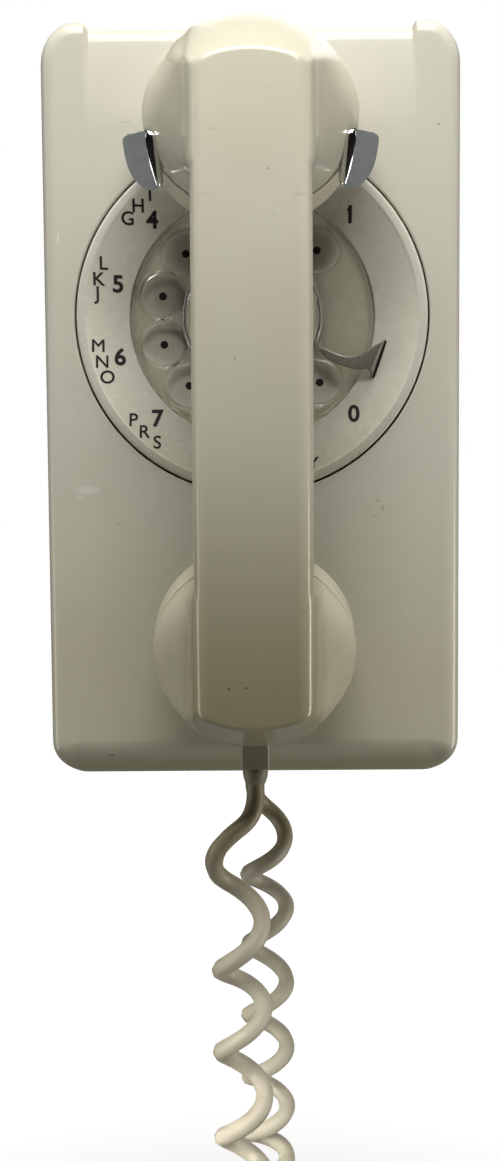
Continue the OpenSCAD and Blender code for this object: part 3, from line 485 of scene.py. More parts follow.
def moulded_plastic_group():
    """Old glossy moulding: slow shifts of tone, settled specks, fine scratches and a slight ripple."""
    group, t, given, out = effect("Aged Moulding", {
        "Vector": ("v", None), "Colour": ("c", (0.6, 0.58, 0.5)), "Aged Colour": ("c", (0.5, 0.46, 0.36)),
        "Ageing": ("f", 0.35), "Specks": ("f", 0.5), "Scratches": ("f", 0.4), "Roughness": ("f", 0.28)},
        {"Colour": "c", "Roughness": "f", "Height": "f"})
    place = given["Vector"]
    slow = t.band(t.noise(place, 16.0, 3.0, 0.55, 0.3), 0.38, 0.68)
    fine = t.noise(place, 260.0, 3.0, 0.6)
    aged = t.times(t.plus(t.times(slow, 0.75), t.times(fine, 0.25)), given["Ageing"])
    base = t.blend(aged, given["Colour"], given["Aged Colour"])
    cells = t.node("ShaderNodeTexVoronoi", {"Vector": place, "Scale": 210.0}).outputs
    dot = t.band(cells["Distance"], 0.11, 0.05)
    rare = t.band(t.node("ShaderNodeSeparateColor", {0: cells["Color"]}).outputs[0], 0.955, 0.965)
    speck = t.times(dot, rare, given["Specks"])
    base = t.blend(speck, base, (0.16, 0.13, 0.09))
    lines = [t.band(t.noise(t.stretch(place, (900.0, 900.0, 11.0), turn), 1.0, 2.0, 0.6), 0.735, 0.77)
             for turn in ((0.2, 0.3, 0.5), (0.4, -0.7, 1.3))]
    patchy = t.band(t.noise(place, 34.0, 2.0), 0.5, 0.62)
    scratch = t.times(t.maths("MAXIMUM", *lines), patchy, given["Scratches"])
    t.feed(t.blend(t.times(scratch, 0.25), base, (0.78, 0.76, 0.7)), out["Colour"])
    rough = t.plus(given["Roughness"], t.times(t.minus(fine, 0.5), 0.16))
    t.feed(t.plus(rough, t.plus(t.times(scratch, 0.22), t.times(speck, 0.3)), clamp=True), out["Roughness"])
    ripple = t.plus(t.times(t.noise(place, 55.0, 1.0), 0.5), t.times(fine, 0.12))
    t.feed(t.minus(ripple, t.times(scratch, 0.35)), out["Height"])
    return group


def worked_metal_group():
    """Metal with a grain along Z and faint stains."""
    group, t, given, out = effect("Worked Metal", {
        "Vector": ("v", None), "Colour": ("c", (0.6, 0.6, 0.6)), "Stain": ("c", (0.3, 0.25, 0.18)),
        "Staining": ("f", 0.3), "Grain": ("f", 0.5), "Roughness": ("f", 0.25)},
        {"Colour": "c", "Roughness": "f", "Height": "f"})
    place = given["Vector"]
    grain = t.noise(t.stretch(place, (2600.0, 2600.0, 90.0)), 1.0, 2.0, 0.6)
    stain = t.band(t.noise(place, 120.0, 4.0, 0.65, 0.4), 0.5, 0.75)
    t.feed(t.blend(t.times(stain, given["Staining"]), given["Colour"], given["Stain"]), out["Colour"])
    rough = t.plus(given["Roughness"], t.times(t.minus(grain, 0.5), given["Grain"], 0.4))
    t.feed(t.plus(rough, t.times(stain, t.times(given["Staining"], 0.35)), clamp=True), out["Roughness"])
    t.feed(t.times(grain, given["Grain"]), out["Height"])
    return group


def edge_wear_group():
    """Rubbed colour along the sharp edges, in worn patches."""
    group, t, given, out = effect("Edge Wear", {
        "Vector": ("v", None), "Colour": ("c", (0.5, 0.5, 0.5)), "Rubbed Colour": ("c", (0.7, 0.7, 0.7)),
        "Amount": ("f", 0.4)}, {"Colour": "c", "Mask": "f"})
    sharp = t.band(t.node("ShaderNodeNewGeometry").outputs["Pointiness"], 0.53, 0.62)
    worn = t.band(t.noise(given["Vector"], 300.0, 3.0, 0.6), 0.35, 0.65)
    mask = t.times(sharp, worn, given["Amount"])
    t.feed(t.blend(mask, given["Colour"], given["Rubbed Colour"]), out["Colour"])
    t.feed(mask, out["Mask"])
    return group


def local_mark_group():
    """One mark at a place on the front, seen along Y: a smudge, a speck, a pit or a painted highlight."""
    group, t, given, out = effect("Local Mark", {
        "Vector": ("v", None), "Colour": ("c", (0.5, 0.5, 0.5)), "Mark Colour": ("c", (0.1, 0.1, 0.1)),
        "X": ("f", 0.0), "Z": ("f", 0.0), "Width": ("f", 0.001), "Height": ("f", 0.001), "Strength": ("f", 0.5)},
        {"Colour": "c", "Mask": "f"})
    axes = t.node("ShaderNodeSeparateXYZ", {0: given["Vector"]}).outputs
    across = t.maths("DIVIDE", t.minus(axes["X"], given["X"]), given["Width"])
    along = t.maths("DIVIDE", t.minus(axes["Z"], given["Z"]), given["Height"])
    away = t.plus(t.times(across, across), t.times(along, along))
    ragged = t.plus(away, t.times(t.noise(given["Vector"], 900.0, 3.0, 0.6), 1.1))
    mask = t.times(t.band(ragged, 1.35, 0.75), t.band(axes["Y"], -0.05, -0.06), given["Strength"])
    t.feed(t.blend(mask, given["Colour"], given["Mark Colour"]), out["Colour"])
    t.feed(mask, out["Mask"])
    return group


def new_material(name, metallic=0.0, roughness=0.4, **sockets):
    """A material with a Principled BSDF; sockets are set on the shader itself."""
    material = bpy.data.materials.new(name)
    material.use_nodes = True
    t = Tree(material.node_tree)
    shader = material.node_tree.nodes["Principled BSDF"]
    shader.inputs["Metallic"].default_value = metallic
    shader.inputs["Roughness"].default_value = roughness
    for key, value in sockets.items():
        t.feed(value, shader.inputs[key.replace("_", " ")])
    return material, t, shader


def place_of(t):
    return t.node("ShaderNodeTexCoord").outputs["Object"]


def use_group(t, group, **inputs):
    made = t.node("ShaderNodeGroup", node_tree=group)
    for key, value in inputs.items():
        t.feed(value, made.inputs[key.replace("_", " ")])
    return made.outputs


def dress_shader(t, shader, tone, made, ripple):
    """Feeds a colour, and the roughness and height of a group, to the shader."""
    t.feed(tone, shader.inputs["Base Color"])
    t.feed(made["Roughness"], shader.inputs["Roughness"])
    raised = t.node("ShaderNodeBump", {"Height": made["Height"], "Distance": ripple, "Strength": 1.0})
    t.feed(raised.outputs[0], shader.inputs["Normal"])


def plastic(name, base, aged, ageing=0.35, specks=0.5, scratches=0.4, roughness=0.25, marks=(), low=(), shine=0.5,
            **sockets):
    """A moulded plastic. Each of low is painted shade: a tint multiplied into the colour, full beyond its end height
    and gone beyond its start height, within half its width of the middle, in millimetres.
    """
    material, t, shader = new_material(name, Specular_IOR_Level=shine, Coat_Roughness=0.08, **sockets)
    made = use_group(t, GROUPS["plastic"], Vector=place_of(t), Colour=base, Aged_Colour=aged, Ageing=ageing,
                     Specks=specks, Scratches=scratches, Roughness=roughness)
    tone = made["Colour"]
    for x, z, width, height, mark, strength in marks:
        tone = use_group(t, GROUPS["mark"], Vector=place_of(t), Colour=tone, Mark_Colour=mark, X=x * MM, Z=z * MM,
                         Width=width * MM, Height=height * MM, Strength=strength)["Colour"]
    # Painted shade: each tint of low darkens the colour towards one end of its height range.
    for tint, start, end, half in low:
        parts = t.node("ShaderNodeSeparateXYZ", {0: place_of(t)}).outputs
        down = t.band(parts[2], end * MM, start * MM, 1.0, 0.0)
        near = t.band(t.maths("ABSOLUTE", parts[0]), half * MM, (half + 5) * MM, 1.0, 0.0)
        tone = t.node("ShaderNodeMix", {0: t.times(down, near), 6: tone, 7: tint}, data_type="RGBA",
                      blend_type="MULTIPLY").outputs[2]
    dress_shader(t, shader, tone, made, 0.03 * MM)
    return material


def metal(name, base, staining=0.25, grain=0.4, roughness=0.25, stain=(0.3, 0.25, 0.18), wear=0.3, metallic=1.0):
    material, t, shader = new_material(name, metallic=metallic)
    place = place_of(t)
    made = use_group(t, GROUPS["metal"], Vector=place, Colour=base, Stain=stain, Staining=staining, Grain=grain,
                     Roughness=roughness)
    rubbed = tuple(min(1.0, c * 1.4) for c in base)
    worn = use_group(t, GROUPS["wear"], Vector=place, Colour=made["Colour"], Rubbed_Colour=rubbed, Amount=wear)
    dress_shader(t, shader, worn["Colour"], made, 0.01 * MM)
    return material


GROUPS, FINISH = {}, {}
# Marks of use, and on the housing a painted highlight as the last mark, in millimetres: x, z, half width, half height,
# colour and strength
HOUSING_MARKS = ((-52.3, -26.4, 5.5, 1.5, (0.72, 0.70, 0.63), 0.6), (-55.0, -28.6, 2.0, 0.7, (0.74, 0.72, 0.66), 0.5),
                 (39.2, -30.4, 1.0, 0.6, (0.3, 0.25, 0.17), 0.5), (40.8, -32.6, 0.6, 1.2, (0.3, 0.25, 0.17), 0.45),
                 (38.4, -35.2, 0.8, 0.5, (0.33, 0.28, 0.2), 0.4), (-46.3, -111.8, 1.7, 0.4, (0.16, 0.13, 0.08), 0.8),
                 (-38.6, 87.4, 2.2, 0.5, (0.36, 0.33, 0.26), 0.35), (58.2, 86.0, 0.6, 0.5, (0.2, 0.17, 0.12), 0.6),
                 # The last housing mark, a pale streak on the left side's rounded edge, is a painted highlight.
                 (52.5, 18.0, 1.1, 0.35, (0.4, 0.36, 0.28), 0.4), (-60.4, 52.0, 0.5, 2.4, (0.76, 0.75, 0.7), 0.5))
HANDSET_MARKS = ((-7.2, -80.6, 0.45, 0.4, (0.03, 0.02, 0.02), 1.0), (-2.4, -80.4, 0.4, 0.35, (0.06, 0.04, 0.03), 0.9),
                 (-10.2, 72.5, 1.0, 0.4, (0.38, 0.34, 0.26), 0.35), (6.0, 49.5, 1.4, 0.35, (0.4, 0.36, 0.28), 0.3),
                 (3.2, 8.0, 0.5, 0.4, (0.3, 0.26, 0.2), 0.5), (-8.8, -42.0, 0.4, 0.6, (0.34, 0.3, 0.22), 0.45))


# Finish of each CAD node
NODE_FINISHES = {
    "housing": "housing", "dial": "number_plate", "handset": "handset_body receiver_cap transmitter_cap",
    "chrome": "finger_stop", "hook": "hook_yoke", "clear": "finger_wheel card_holder", "card": "number_card",
    "rubber": "handset_boot cord_grommet", "paint": "base_plate", "cord": "handset_cord",
    "steel": "housing_screw dial_bracket dial_frame bearing_bridge dial_screws main_shaft ringer_frame ringer_core "
             "ringer_magnet gong_screws clapper hook_bracket hook_pin governor_rotor",
    "spring": "main_spring hook_spring",
    "brass": "main_gear intermediate_gear gong_large gong_small governor_cup terminal_screws pulse_contacts "
             "hook_contacts",
    "can": "network_case receiver_unit transmitter_unit", "phenolic": "terminal_board", "coil": "ringer_coil",
    "black": "pulse_cam transmitter_cup volume_wheel",
}


class PHONE_OT_finishes(Operator):
    """Make the effects and the finishes of the telephone"""
    bl_idname = "phone.finishes"
    bl_label = "Finishes"

    def execute(self, context):
        tone = context.scene.phone_colours
        GROUPS.update(plastic=moulded_plastic_group(), metal=worked_metal_group(), wear=edge_wear_group(),
                      mark=local_mark_group())
        FINISH.update(
            # The housing's low tints are painted shade: the front darker towards the bottom, darkest on the lower
            # bevel.
            housing=plastic("Housing Moulding", tone.housing, (0.50, 0.47, 0.37), 0.3, roughness=0.24,
                            marks=HOUSING_MARKS,
                            low=[((0.92, 0.91, 0.83), -10, -95, 70), ((0.64, 0.64, 0.54), -108, -116, 70)]),
            # The handset's low tints are painted shade: darker towards the bottom, most of all on the handle's face.
            handset=plastic("Handset Moulding", tone.handset, (0.52, 0.47, 0.35), roughness=0.2, marks=HANDSET_MARKS,
                            low=[((0.64, 0.63, 0.52), 5, -95, 17), ((0.92, 0.9, 0.84), 5, -95, 40)]),
            # The number plate's low tint is painted shadow of the handset, darkening its lower part.
            dial=plastic("Dial Moulding", tone.dial, (0.5, 0.47, 0.38), 0.3, scratches=0.6, roughness=0.27,
                         low=[((0.78, 0.77, 0.71), 10, -26, 60)]),
            # The cord's low tint is painted shade, darkening its upper part below the housing and the handset.
            cord=plastic("Cord Jacket", tone.cord, (0.42, 0.38, 0.28), 0.6, 0.8, 0.2, 0.42,
                         low=[((0.6, 0.57, 0.45), -165, -130, 100)]),
            # The boot's moulding is the handset's plastic darkened: painted shade under the handset.
            boot=plastic("Boot Moulding In Painted Shade", (0.5, 0.47, 0.36), (0.36, 0.33, 0.23), 0.5, roughness=0.4),
            # The rubber's dark colour is its own on the grommet, and partly painted shade on the boot's bulb.
            rubber=plastic("Boot Rubber And Painted Shade", (0.3, 0.27, 0.18), (0.2, 0.18, 0.11), 0.6, roughness=0.5),
            ink=plastic("Printing Ink", tone.print_black, (0.05, 0.045, 0.04), 0.5, 0.0, roughness=0.5, shine=0.1),
            card=plastic("Number Card", (0.72, 0.70, 0.62), (0.6, 0.52, 0.36), 0.6, roughness=0.7),
            paint=plastic("Base Paint", (0.42, 0.4, 0.32), (0.3, 0.27, 0.2), 0.5, 0.8, roughness=0.42),
            can=plastic("Can Paint", (0.11, 0.115, 0.115), (0.07, 0.07, 0.065), 0.5, roughness=0.45),
            phenolic=plastic("Phenolic Board", (0.16, 0.075, 0.03), (0.09, 0.045, 0.02), 0.7, roughness=0.4),
            black=plastic("Black Moulding", (0.025, 0.025, 0.025), (0.05, 0.05, 0.045), 0.4, roughness=0.35),
            # The clear moulding's tint is partly a yellowed moulding and partly painted shade on the number plate seen
            # through it.
            clear=plastic("Clear Moulding", (0.83, 0.82, 0.75), (0.76, 0.73, 0.62), 0.4, 0.3, 0.7, 0.06,
                          Transmission_Weight=1.0, IOR=1.49),
            chrome=metal("Bright Plating", tone.chrome, 0.12, 0.1, 0.08),
            hook=metal("Dull Plating", tone.hook, 0.15, 0.4, 0.3, stain=(0.1, 0.1, 0.1), wear=0.2, metallic=0.1),
            stop=metal("Brushed Plating", (0.25, 0.24, 0.2), 0.3, 0.5, 0.3, metallic=0.45),
            steel=metal("Plated Steel", (0.52, 0.52, 0.5), 0.4, 0.6, 0.32),
            spring=metal("Spring Steel", (0.36, 0.36, 0.37), 0.3, 0.7, 0.28),
            brass=metal("Brass", (0.72, 0.52, 0.22), 0.4, 0.4, 0.26, stain=(0.32, 0.2, 0.08)),
            coil=metal("Coil Winding", (0.55, 0.24, 0.1), 0.5, 1.0, 0.4, stain=(0.25, 0.1, 0.04)))
        for finish, nodes in NODE_FINISHES.items():
            for name in nodes.split():
                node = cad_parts[name]
                node.data.materials.clear()
                node.data.materials.append(FINISH[finish])
        return {"FINISHED"}


# ---------------------------------------------------------------- camera, cord, stage

FILM, FOCAL_SHARE = 36.0, 1571 / 1161                 # film width in millimetres, focal length in film widths
CAMERA_PLACE = Vector((0.69, -567, -13.48)) * MM
CAMERA_TURN = [math.radians(a) for a in (-0.23, 4.833, -0.431)]          # yaw, pitch and roll
FLOOR_Z = -0.436
LAMP_AIM, WARM = (0, -0.08, 0), (1, 0.97, 0.9)
# Lamps: place, aim, width and height in metres, power, tint and spread in degrees; the key lamp's power is a setting
LAMPS = (
    ("lamp_key", (0, -0.24, 0.65), LAMP_AIM, (0.5, 0.2), None, (1, 0.99, 0.96), 180),
    ("lamp_front", (0, -0.5, 0.45), LAMP_AIM, (0.4, 0.15), 2.5, (1, 0.99, 0.96), 180),
    ("lamp_left", (-0.6, -0.13, 0.15), LAMP_AIM, (0.1, 0.4), 0.25, WARM, 180),
    ("lamp_right", (0.6, -0.13, 0.15), LAMP_AIM, (0.1, 0.4), 0.2, WARM, 180),
    ("lamp_left_low", (-0.55, -0.13, -0.25), (0, -0.08, -0.05), (0.1, 0.4), 0.6, WARM, 180),
    ("lamp_right_low", (0.55, -0.13, -0.25), (0, -0.08, -0.05), (0.1, 0.4), 1.25, WARM, 180),
    ("lamp_cord", (-0.3, -0.42, -0.15), (0, -0.09, -0.27), (0.1, 0.1), 0.075, (1, 0.98, 0.93), 24),
    ("lamp_back", (0.3, 1.2, 0.5), (0, 0, 0), (1.0, 1.0), 4.0, (1, 1, 1), 180),
)


def seen(t):
    """One for rays from the camera, also through the clear wheel, and nought for all others."""
    path = t.node("ShaderNodeLightPath").outputs
    return t.maths("MAXIMUM", path["Is Camera Ray"], path["Is Transmission Ray"])


class PHONE_OT_camera(Operator):
    """Place the camera in front of the telephone, at the height of its middle"""
    bl_idname = "phone.camera"
    bl_label = "Camera"

    def execute(self, context):
        yaw, pitch, roll = CAMERA_TURN
        ahead = Vector((math.sin(yaw) * math.cos(pitch), math.cos(yaw) * math.cos(pitch), -math.sin(pitch)))
        level = ahead.cross(Vector((0, 0, 1))).normalized()
        above = level.cross(ahead)
        right = level * math.cos(roll) + above * math.sin(roll)
        up = -level * math.sin(roll) + above * math.cos(roll)
        camera = bpy.data.objects.new("camera", bpy.data.cameras.new("camera"))
        camera.data.sensor_width = FILM
        camera.data.lens = FOCAL_SHARE * FILM
        camera.matrix_world = Matrix.Translation(CAMERA_PLACE) @ Matrix((right, up, -ahead)).transposed().to_4x4()
        context.scene.collection.objects.link(camera)
        context.scene.camera = camera
        return {"FINISHED"}


class PHONE_OT_cord(Operator):
    """Hang the curly cord between the handset and the housing"""
    bl_idname = "phone.cord"
    bl_label = "Cord"

    def execute(self, context):
        sizes = context.scene.phone_sizes
        path = thin_out(cord_line(sizes), 1.4 * MM)
        mesh = tube("curly_cord", path, sizes.wire_radius)
        cord = link("curly_cord", mesh)
        mesh.materials.append(FINISH["cord"])
        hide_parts("handset_cord")
        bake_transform(cord)
        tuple(path[0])
        print("cord length", round(lengths(path)[-1], 4))
        return {"FINISHED"}


class PHONE_OT_stage(Operator):
    """Set the floor, the world and the lamps"""
    bl_idname = "phone.stage"
    bl_label = "Stage"

    def execute(self, context):
        bm = bmesh.new()
        bmesh.ops.create_grid(bm, x_segments=8, y_segments=8, size=6.0)
        bmesh.ops.translate(bm, verts=bm.verts, vec=(0, 2.0, FLOOR_Z))
        floor = link("floor", to_mesh(bm, "floor"))
        material = bpy.data.materials.new("Pale Floor")
        material.use_nodes = True
        nodes, t = material.node_tree.nodes, Tree(material.node_tree)
        nodes.remove(nodes["Principled BSDF"])
        diffuse = t.node("ShaderNodeBsdfDiffuse", {"Color": context.scene.phone_colours.floor})
        away = t.node("ShaderNodeVectorMath", {0: place_of(t)}, operation="LENGTH").outputs["Value"]
        strength = t.times(seen(t), t.band(away, 0.35, 0.75, 0.5, 1.0))
        glow = t.node("ShaderNodeEmission", {"Color": (1, 1, 1), "Strength": strength})
        both = t.node("ShaderNodeAddShader", {0: diffuse.outputs[0], 1: glow.outputs[0]})
        t.feed(both.outputs[0], nodes["Material Output"].inputs["Surface"])
        floor.data.materials.append(material)
        world = bpy.data.worlds.new("studio")
        context.scene.world = world
        world.use_nodes = True
        t = Tree(world.node_tree)
        soft = t.node("ShaderNodeBackground", {"Color": (1.0, 0.95, 0.8), "Strength": 0.012})
        white = t.node("ShaderNodeBackground", {"Color": (1, 1, 1), "Strength": 1.0})
        mix = t.node("ShaderNodeMixShader", {0: seen(t), 1: soft.outputs[0], 2: white.outputs[0]})
        t.feed(mix.outputs[0], world.node_tree.nodes["World Output"].inputs["Surface"])
        for name, place, aim, size, power, tint, spread in LAMPS:
            light = bpy.data.lights.new(name, "AREA")
            light.shape = "RECTANGLE"
            light.size, light.size_y = size
            light.energy = context.scene.phone_sizes.lamp_power if power is None else power
            light.color, light.spread = tint, math.radians(spread)
            lamp = link(name, light)
            lamp.location = place
            lamp.rotation_euler = (Vector(aim) - Vector(place)).to_track_quat("-Z", "Y").to_euler()
        context.scene.view_settings.view_transform = "Standard"
        return {"FINISHED"}


# ---------------------------------------------------------------- handset

# Both ends, in millimetres: seam plane, tilt, and the handle between them
SEAM_Y, END_U, TILT, MIDDLE_Z = -93.32, 80.25, math.radians(18), 4.75
HANDLE_HALF, FRONT_Y, CROWN, FACE_END, LOW_END = 16.8, -137.0, 5.0, 89.6, 7.4
RECEIVER_R, TRANSMITTER_R = 32.0, 31.0
TIP = 0.12                      # distance from the first and the last ring to the ends
END_ARCH, END_ARCH_HALF = 36.4, 30.0
UNDER_END = 60.0                # where the underside of an end reaches the face, from the middle
SEAM_BAND, UNDER_BAND = 2.5, 2.0                            # depth over which the ends stay round at the seam
FLANK_EASE, ROOF_EASE, UNDER_EASE = 1.12, 1.35, 0.8         # powers by which they turn square
FLANK_SCALE, ROOF_SCALE, UNDER_SCALE = 0.93, 0.91, 0.94     # bring the fields' slopes to about one
HANDLE_DEPTH, HANDLE_RISE, HANDLE_SPAN = 21.0, 7.0, 48.0


def soft_max(a, b, radius):
    """The larger of two fields, with the corner between them rounded."""
    near = np.maximum(radius - np.abs(a - b), 0.0) / radius
    return np.maximum(a, b) + near * near * radius * 0.25


def soft_min(a, b, radius):
    return -soft_max(-a, -b, radius)


def handset_field(x, y, z):
    """Below zero inside the handset's body. The ends run from a round seam to the square end of the handle."""
    x, u = np.abs(x), np.abs(z - MIDDLE_Z)
    radius = np.where(z > MIDDLE_Z, RECEIVER_R, TRANSMITTER_R)
    front = FRONT_Y + CROWN * (u / FACE_END) ** 2
    seam_y = SEAM_Y + (u - END_U) * math.tan(TILT)
    # Flank: level lines from the seam's circle to the handle's side
    along = np.clip((u - END_U) / math.cos(TILT), -radius, radius)
    reach = np.sqrt(np.maximum(radius ** 2 - along ** 2, 0.0))
    s = np.clip((seam_y - y - SEAM_BAND) / np.maximum(seam_y - SEAM_BAND - (front + 4.5), 1.0), 0.0, 1.0) ** FLANK_EASE
    flank = (x - (reach * (1 - s) + np.minimum(HANDLE_HALF, reach) * s)) * FLANK_SCALE
    # Roof at the far end and underside towards the middle, both arched like the circle
    rise = np.sqrt(np.maximum(radius ** 2 - np.minimum(x, radius) ** 2, 0.0))
    top_u, top_y = END_U + rise * math.cos(TILT), SEAM_Y + rise * math.sin(TILT)
    s = np.clip((top_y - SEAM_BAND - y) / (top_y - SEAM_BAND - (front + 1.5)), 0.0, 1.0) ** ROOF_EASE
    arch = END_ARCH - np.sqrt(END_ARCH ** 2 - np.minimum(x, END_ARCH_HALF) ** 2)
    end = FACE_END + np.where(z > MIDDLE_Z, 0.0, LOW_END) - arch
    roof = (u - (top_u * (1 - s) + end * s)) * ROOF_SCALE
    low_u, low_y = END_U - rise * math.cos(TILT), SEAM_Y - rise * math.sin(TILT)
    s = np.clip((low_y - UNDER_BAND - y) / (low_y - UNDER_BAND - (front + 6.0)), 0.0, 1.0) ** UNDER_EASE
    under = (low_u * (1 - s) + UNDER_END * s - u) * UNDER_SCALE
    face = front - y
    slanted = (x - HANDLE_HALF + face) * 0.7071 + 1.75
    behind = (y - seam_y) * math.cos(TILT)
    end_part = soft_max(soft_max(flank, roof, 1.6), soft_max(under, behind, 0.5), 2.0)
    # Handle: a bevelled bar that thickens towards the ends
    back = FRONT_Y + HANDLE_DEPTH + HANDLE_RISE * (u / HANDLE_SPAN) ** 2
    bar = soft_max(soft_max(x - HANDLE_HALF, y - back, 7.0), soft_max(roof, behind, 1.0), 1.0)
    body = soft_min(end_part, bar, 3.5)
    return soft_max(soft_max(body, slanted, 2.0), face, 1.4)


def middle_of(z):
    """Depth of the middle of the handset's body at a height."""
    ys = np.linspace(FRONT_Y - 0.5, -80.0, 1151)
    inside = ys[handset_field(np.zeros_like(ys), ys, np.full_like(ys, z)) < 0]
    if len(inside) == 0:
        raise RuntimeError(f"the handset's body has nothing at height {z:.1f} mm")
    return (inside[0] + inside[-1]) / 2


def ringed_body(levels, sides, widest=60.0, halvings=26):
    """A closed bmesh of level rings, in millimetres; each ring's points lie where the handset's field is zero."""
    bm = bmesh.new()
    angles = np.arange(sides) * (TURN / sides)
    previous = None
    for z in levels:
        cy = middle_of(z)
        low, high = np.zeros(sides), np.full(sides, widest)
        for _ in range(halvings):
            mid = (low + high) / 2
            inside = handset_field(mid * np.cos(angles), cy + mid * np.sin(angles), np.full(sides, z)) < 0
            low, high = np.where(inside, mid, low), np.where(inside, high, mid)
        ring = bmesh.ops.create_circle(bm, cap_ends=False, segments=sides, radius=1.0)["verts"]
        ring.sort(key=lambda v: math.atan2(v.co.y, v.co.x) % TURN)
        for vert in ring:
            a = math.atan2(vert.co.y, vert.co.x) % TURN
            r = low[round(a / TURN * sides) % sides]
            vert.co = (r * math.cos(a), cy + r * math.sin(a), z)
        edges = list({e for v in ring for e in v.link_edges})
        if previous is None:
            bmesh.ops.edgenet_fill(bm, edges=edges)
        else:
            bmesh.ops.bridge_loops(bm, edges=previous + edges)
        previous = edges
    bmesh.ops.edgenet_fill(bm, edges=previous)
    return bm


class PHONE_OT_handset(Operator):
    """Shape the handset's body from its round seams to its square handle"""
    bl_idname = "phone.handset"
    bl_label = "Handset body"

    def execute(self, context):
        top = MIDDLE_Z + END_U + RECEIVER_R * math.cos(TILT)
        bottom = MIDDLE_Z - END_U - TRANSMITTER_R * math.cos(TILT)
        levels = [bottom + TIP]
        while levels[-1] < top - TIP:
            z = levels[-1]
            u = abs(z - MIDDLE_Z)
            gap = min(top - z, z - bottom)
            # Wide apart along the handle, close at the ends and closest where the roof turns into the face
            step = 3.0 if u < 42 else 0.55 if u < 84 or u > 100 else 0.3
            if gap < 2.5:
                step = TIP + gap * TIP
            levels.append(min(z + step, top - TIP))
        bm = ringed_body(levels, 176)
        finish_piece("handset_shell", bm, "handset", "handset", replaces=["handset_body"], smooth=50)
        return {"FINISHED"}


# ---------------------------------------------------------------- dial

DIAL_Z, PLATE_R, WHEEL_R, CARD_R = 27.5, 55.0, 38.1, 22.3
PLATE_BACK, FLOOR, LIP, RIM, LAND = 59.2, 61.8, 66.0, 71.0, 70.5
WHEEL_BACK, WHEEL_FRONT, HOLE_RING, HOLE_R = 63.0, 65.8, 29.4, 6.6
BAND_R, BAND_WIDTH, LIP_FRONT = 39.6, 12.1, LIP + 0.05          # inner radius, width and inner front of the dished band
STOP_ANGLE, STOP_R = math.radians(-18.6), 41.9
DIGIT_RING, LETTER_RING, LETTER_GAP, DOT_R = 43.8, 49.6, 5.9, 1.25          # the gap in degrees
CAPITAL = 0.73                   # height of a capital in the lettering, as a share of its size
HOLE_ANGLES = [math.radians(46 + 30 * i) for i in range(10)]
# The finger stop from the tab in its slot to its tip: upper and lower edge, each (x, z) from the dial's axis, and
# distance to the front
STOP_ROWS = [((41.7, -7.6), (37.8, -19.1), 58.6), ((41.7, -7.6), (37.8, -19.1), 67.4),
             ((41.7, -7.7), (37.7, -18.6), 68.6), ((41.3, -7.9), (37.2, -17.7), 69.5),
             ((40.4, -8.2), (36.4, -16.9), 69.9), ((39.3, -8.6), (35.6, -16.7), 70.0),
             ((37.4, -9.8), (34.2, -16.9), 70.0), ((35.2, -11.3), (32.4, -16.8), 69.9),
             ((33.0, -12.3), (30.6, -16.4), 69.7), ((30.3, -12.7), (28.6, -15.7), 69.4),
             ((27.9, -12.3), (26.4, -14.8), 69.1), ((25.4, -11.3), (24.2, -13.6), 68.8),
             ((23.0, -10.2), (22.2, -12.2), 68.6), ((21.2, -9.6), (20.8, -11.0), 68.5)]


def turned(profile, steps=192, closed=True, at=(0.0, DIAL_Z)):
    """Spins a profile of (radius, distance to the front) about the dial's axis, or one beside it."""
    points = [(at[0] + r, -front, at[1]) for r, front in profile]
    return spun(points, closed, (at[0], 0, at[1]), (0, 1, 0), steps)


def dish(r):
    """Front of the number plate's dished band at radius r."""
    return LIP_FRONT + (LAND - LIP_FRONT) * max(0.0, (r - BAND_R) / BAND_WIDTH) ** 1.18


class PHONE_OT_plate(Operator):
    """Turn the number plate: floor, dished band, rim, the land at its top and the finger stop's slot"""
    bl_idname = "phone.plate"
    bl_label = "Number plate"

    def execute(self, context):
        inner = WHEEL_R + 0.6
        band = [(r, dish(r)) for r in (BAND_R + BAND_WIDTH * i / 26 for i in range(27))]
        front = (rounded([(9, PLATE_BACK), (9, FLOOR), (inner, FLOOR), (inner, LIP - 0.1), (BAND_R, LIP_FRONT)], 0.7)
                 + band[1:]
                 + rounded([(51.75, LAND + 0.02), (52.2, RIM), (PLATE_R, RIM), (PLATE_R, PLATE_BACK)], 1.3, 6)[1:])
        back = [(52.6, PLATE_BACK), (52.6, 67.6), (52, 67.6), (41.1, 63.4), (41.1, PLATE_BACK)]
        bm = turned(front + back, steps=360)
        for vert in bm.verts:
            x, z = vert.co.x, vert.co.z - DIAL_Z
            r = math.hypot(x, z)
            if 39.5 < r < 51.9 and z > 39 and -vert.co.y > dish(r) - 0.5:
                vert.co.y -= (LAND - dish(r)) * smooth_step(z, 39.1, 40.4)
        slot = block((-0.8, -73, -6.3), (0.8, -55, 6.3))
        bevel(slot, edges_along_y(slot), 0.7, 3)
        bmesh.ops.rotate(slot, verts=slot.verts, cent=(0, 0, 0), matrix=Matrix.Rotation(-STOP_ANGLE, 3, "Y"))
        bmesh.ops.translate(slot, verts=slot.verts,
                            vec=(STOP_R * math.cos(STOP_ANGLE), 0, DIAL_Z + STOP_R * math.sin(STOP_ANGLE)))
        finish_piece("dial_plate", carved(bm, slot), "base", "dial", replaces=["number_plate"], smooth=32)
        return {"FINISHED"}


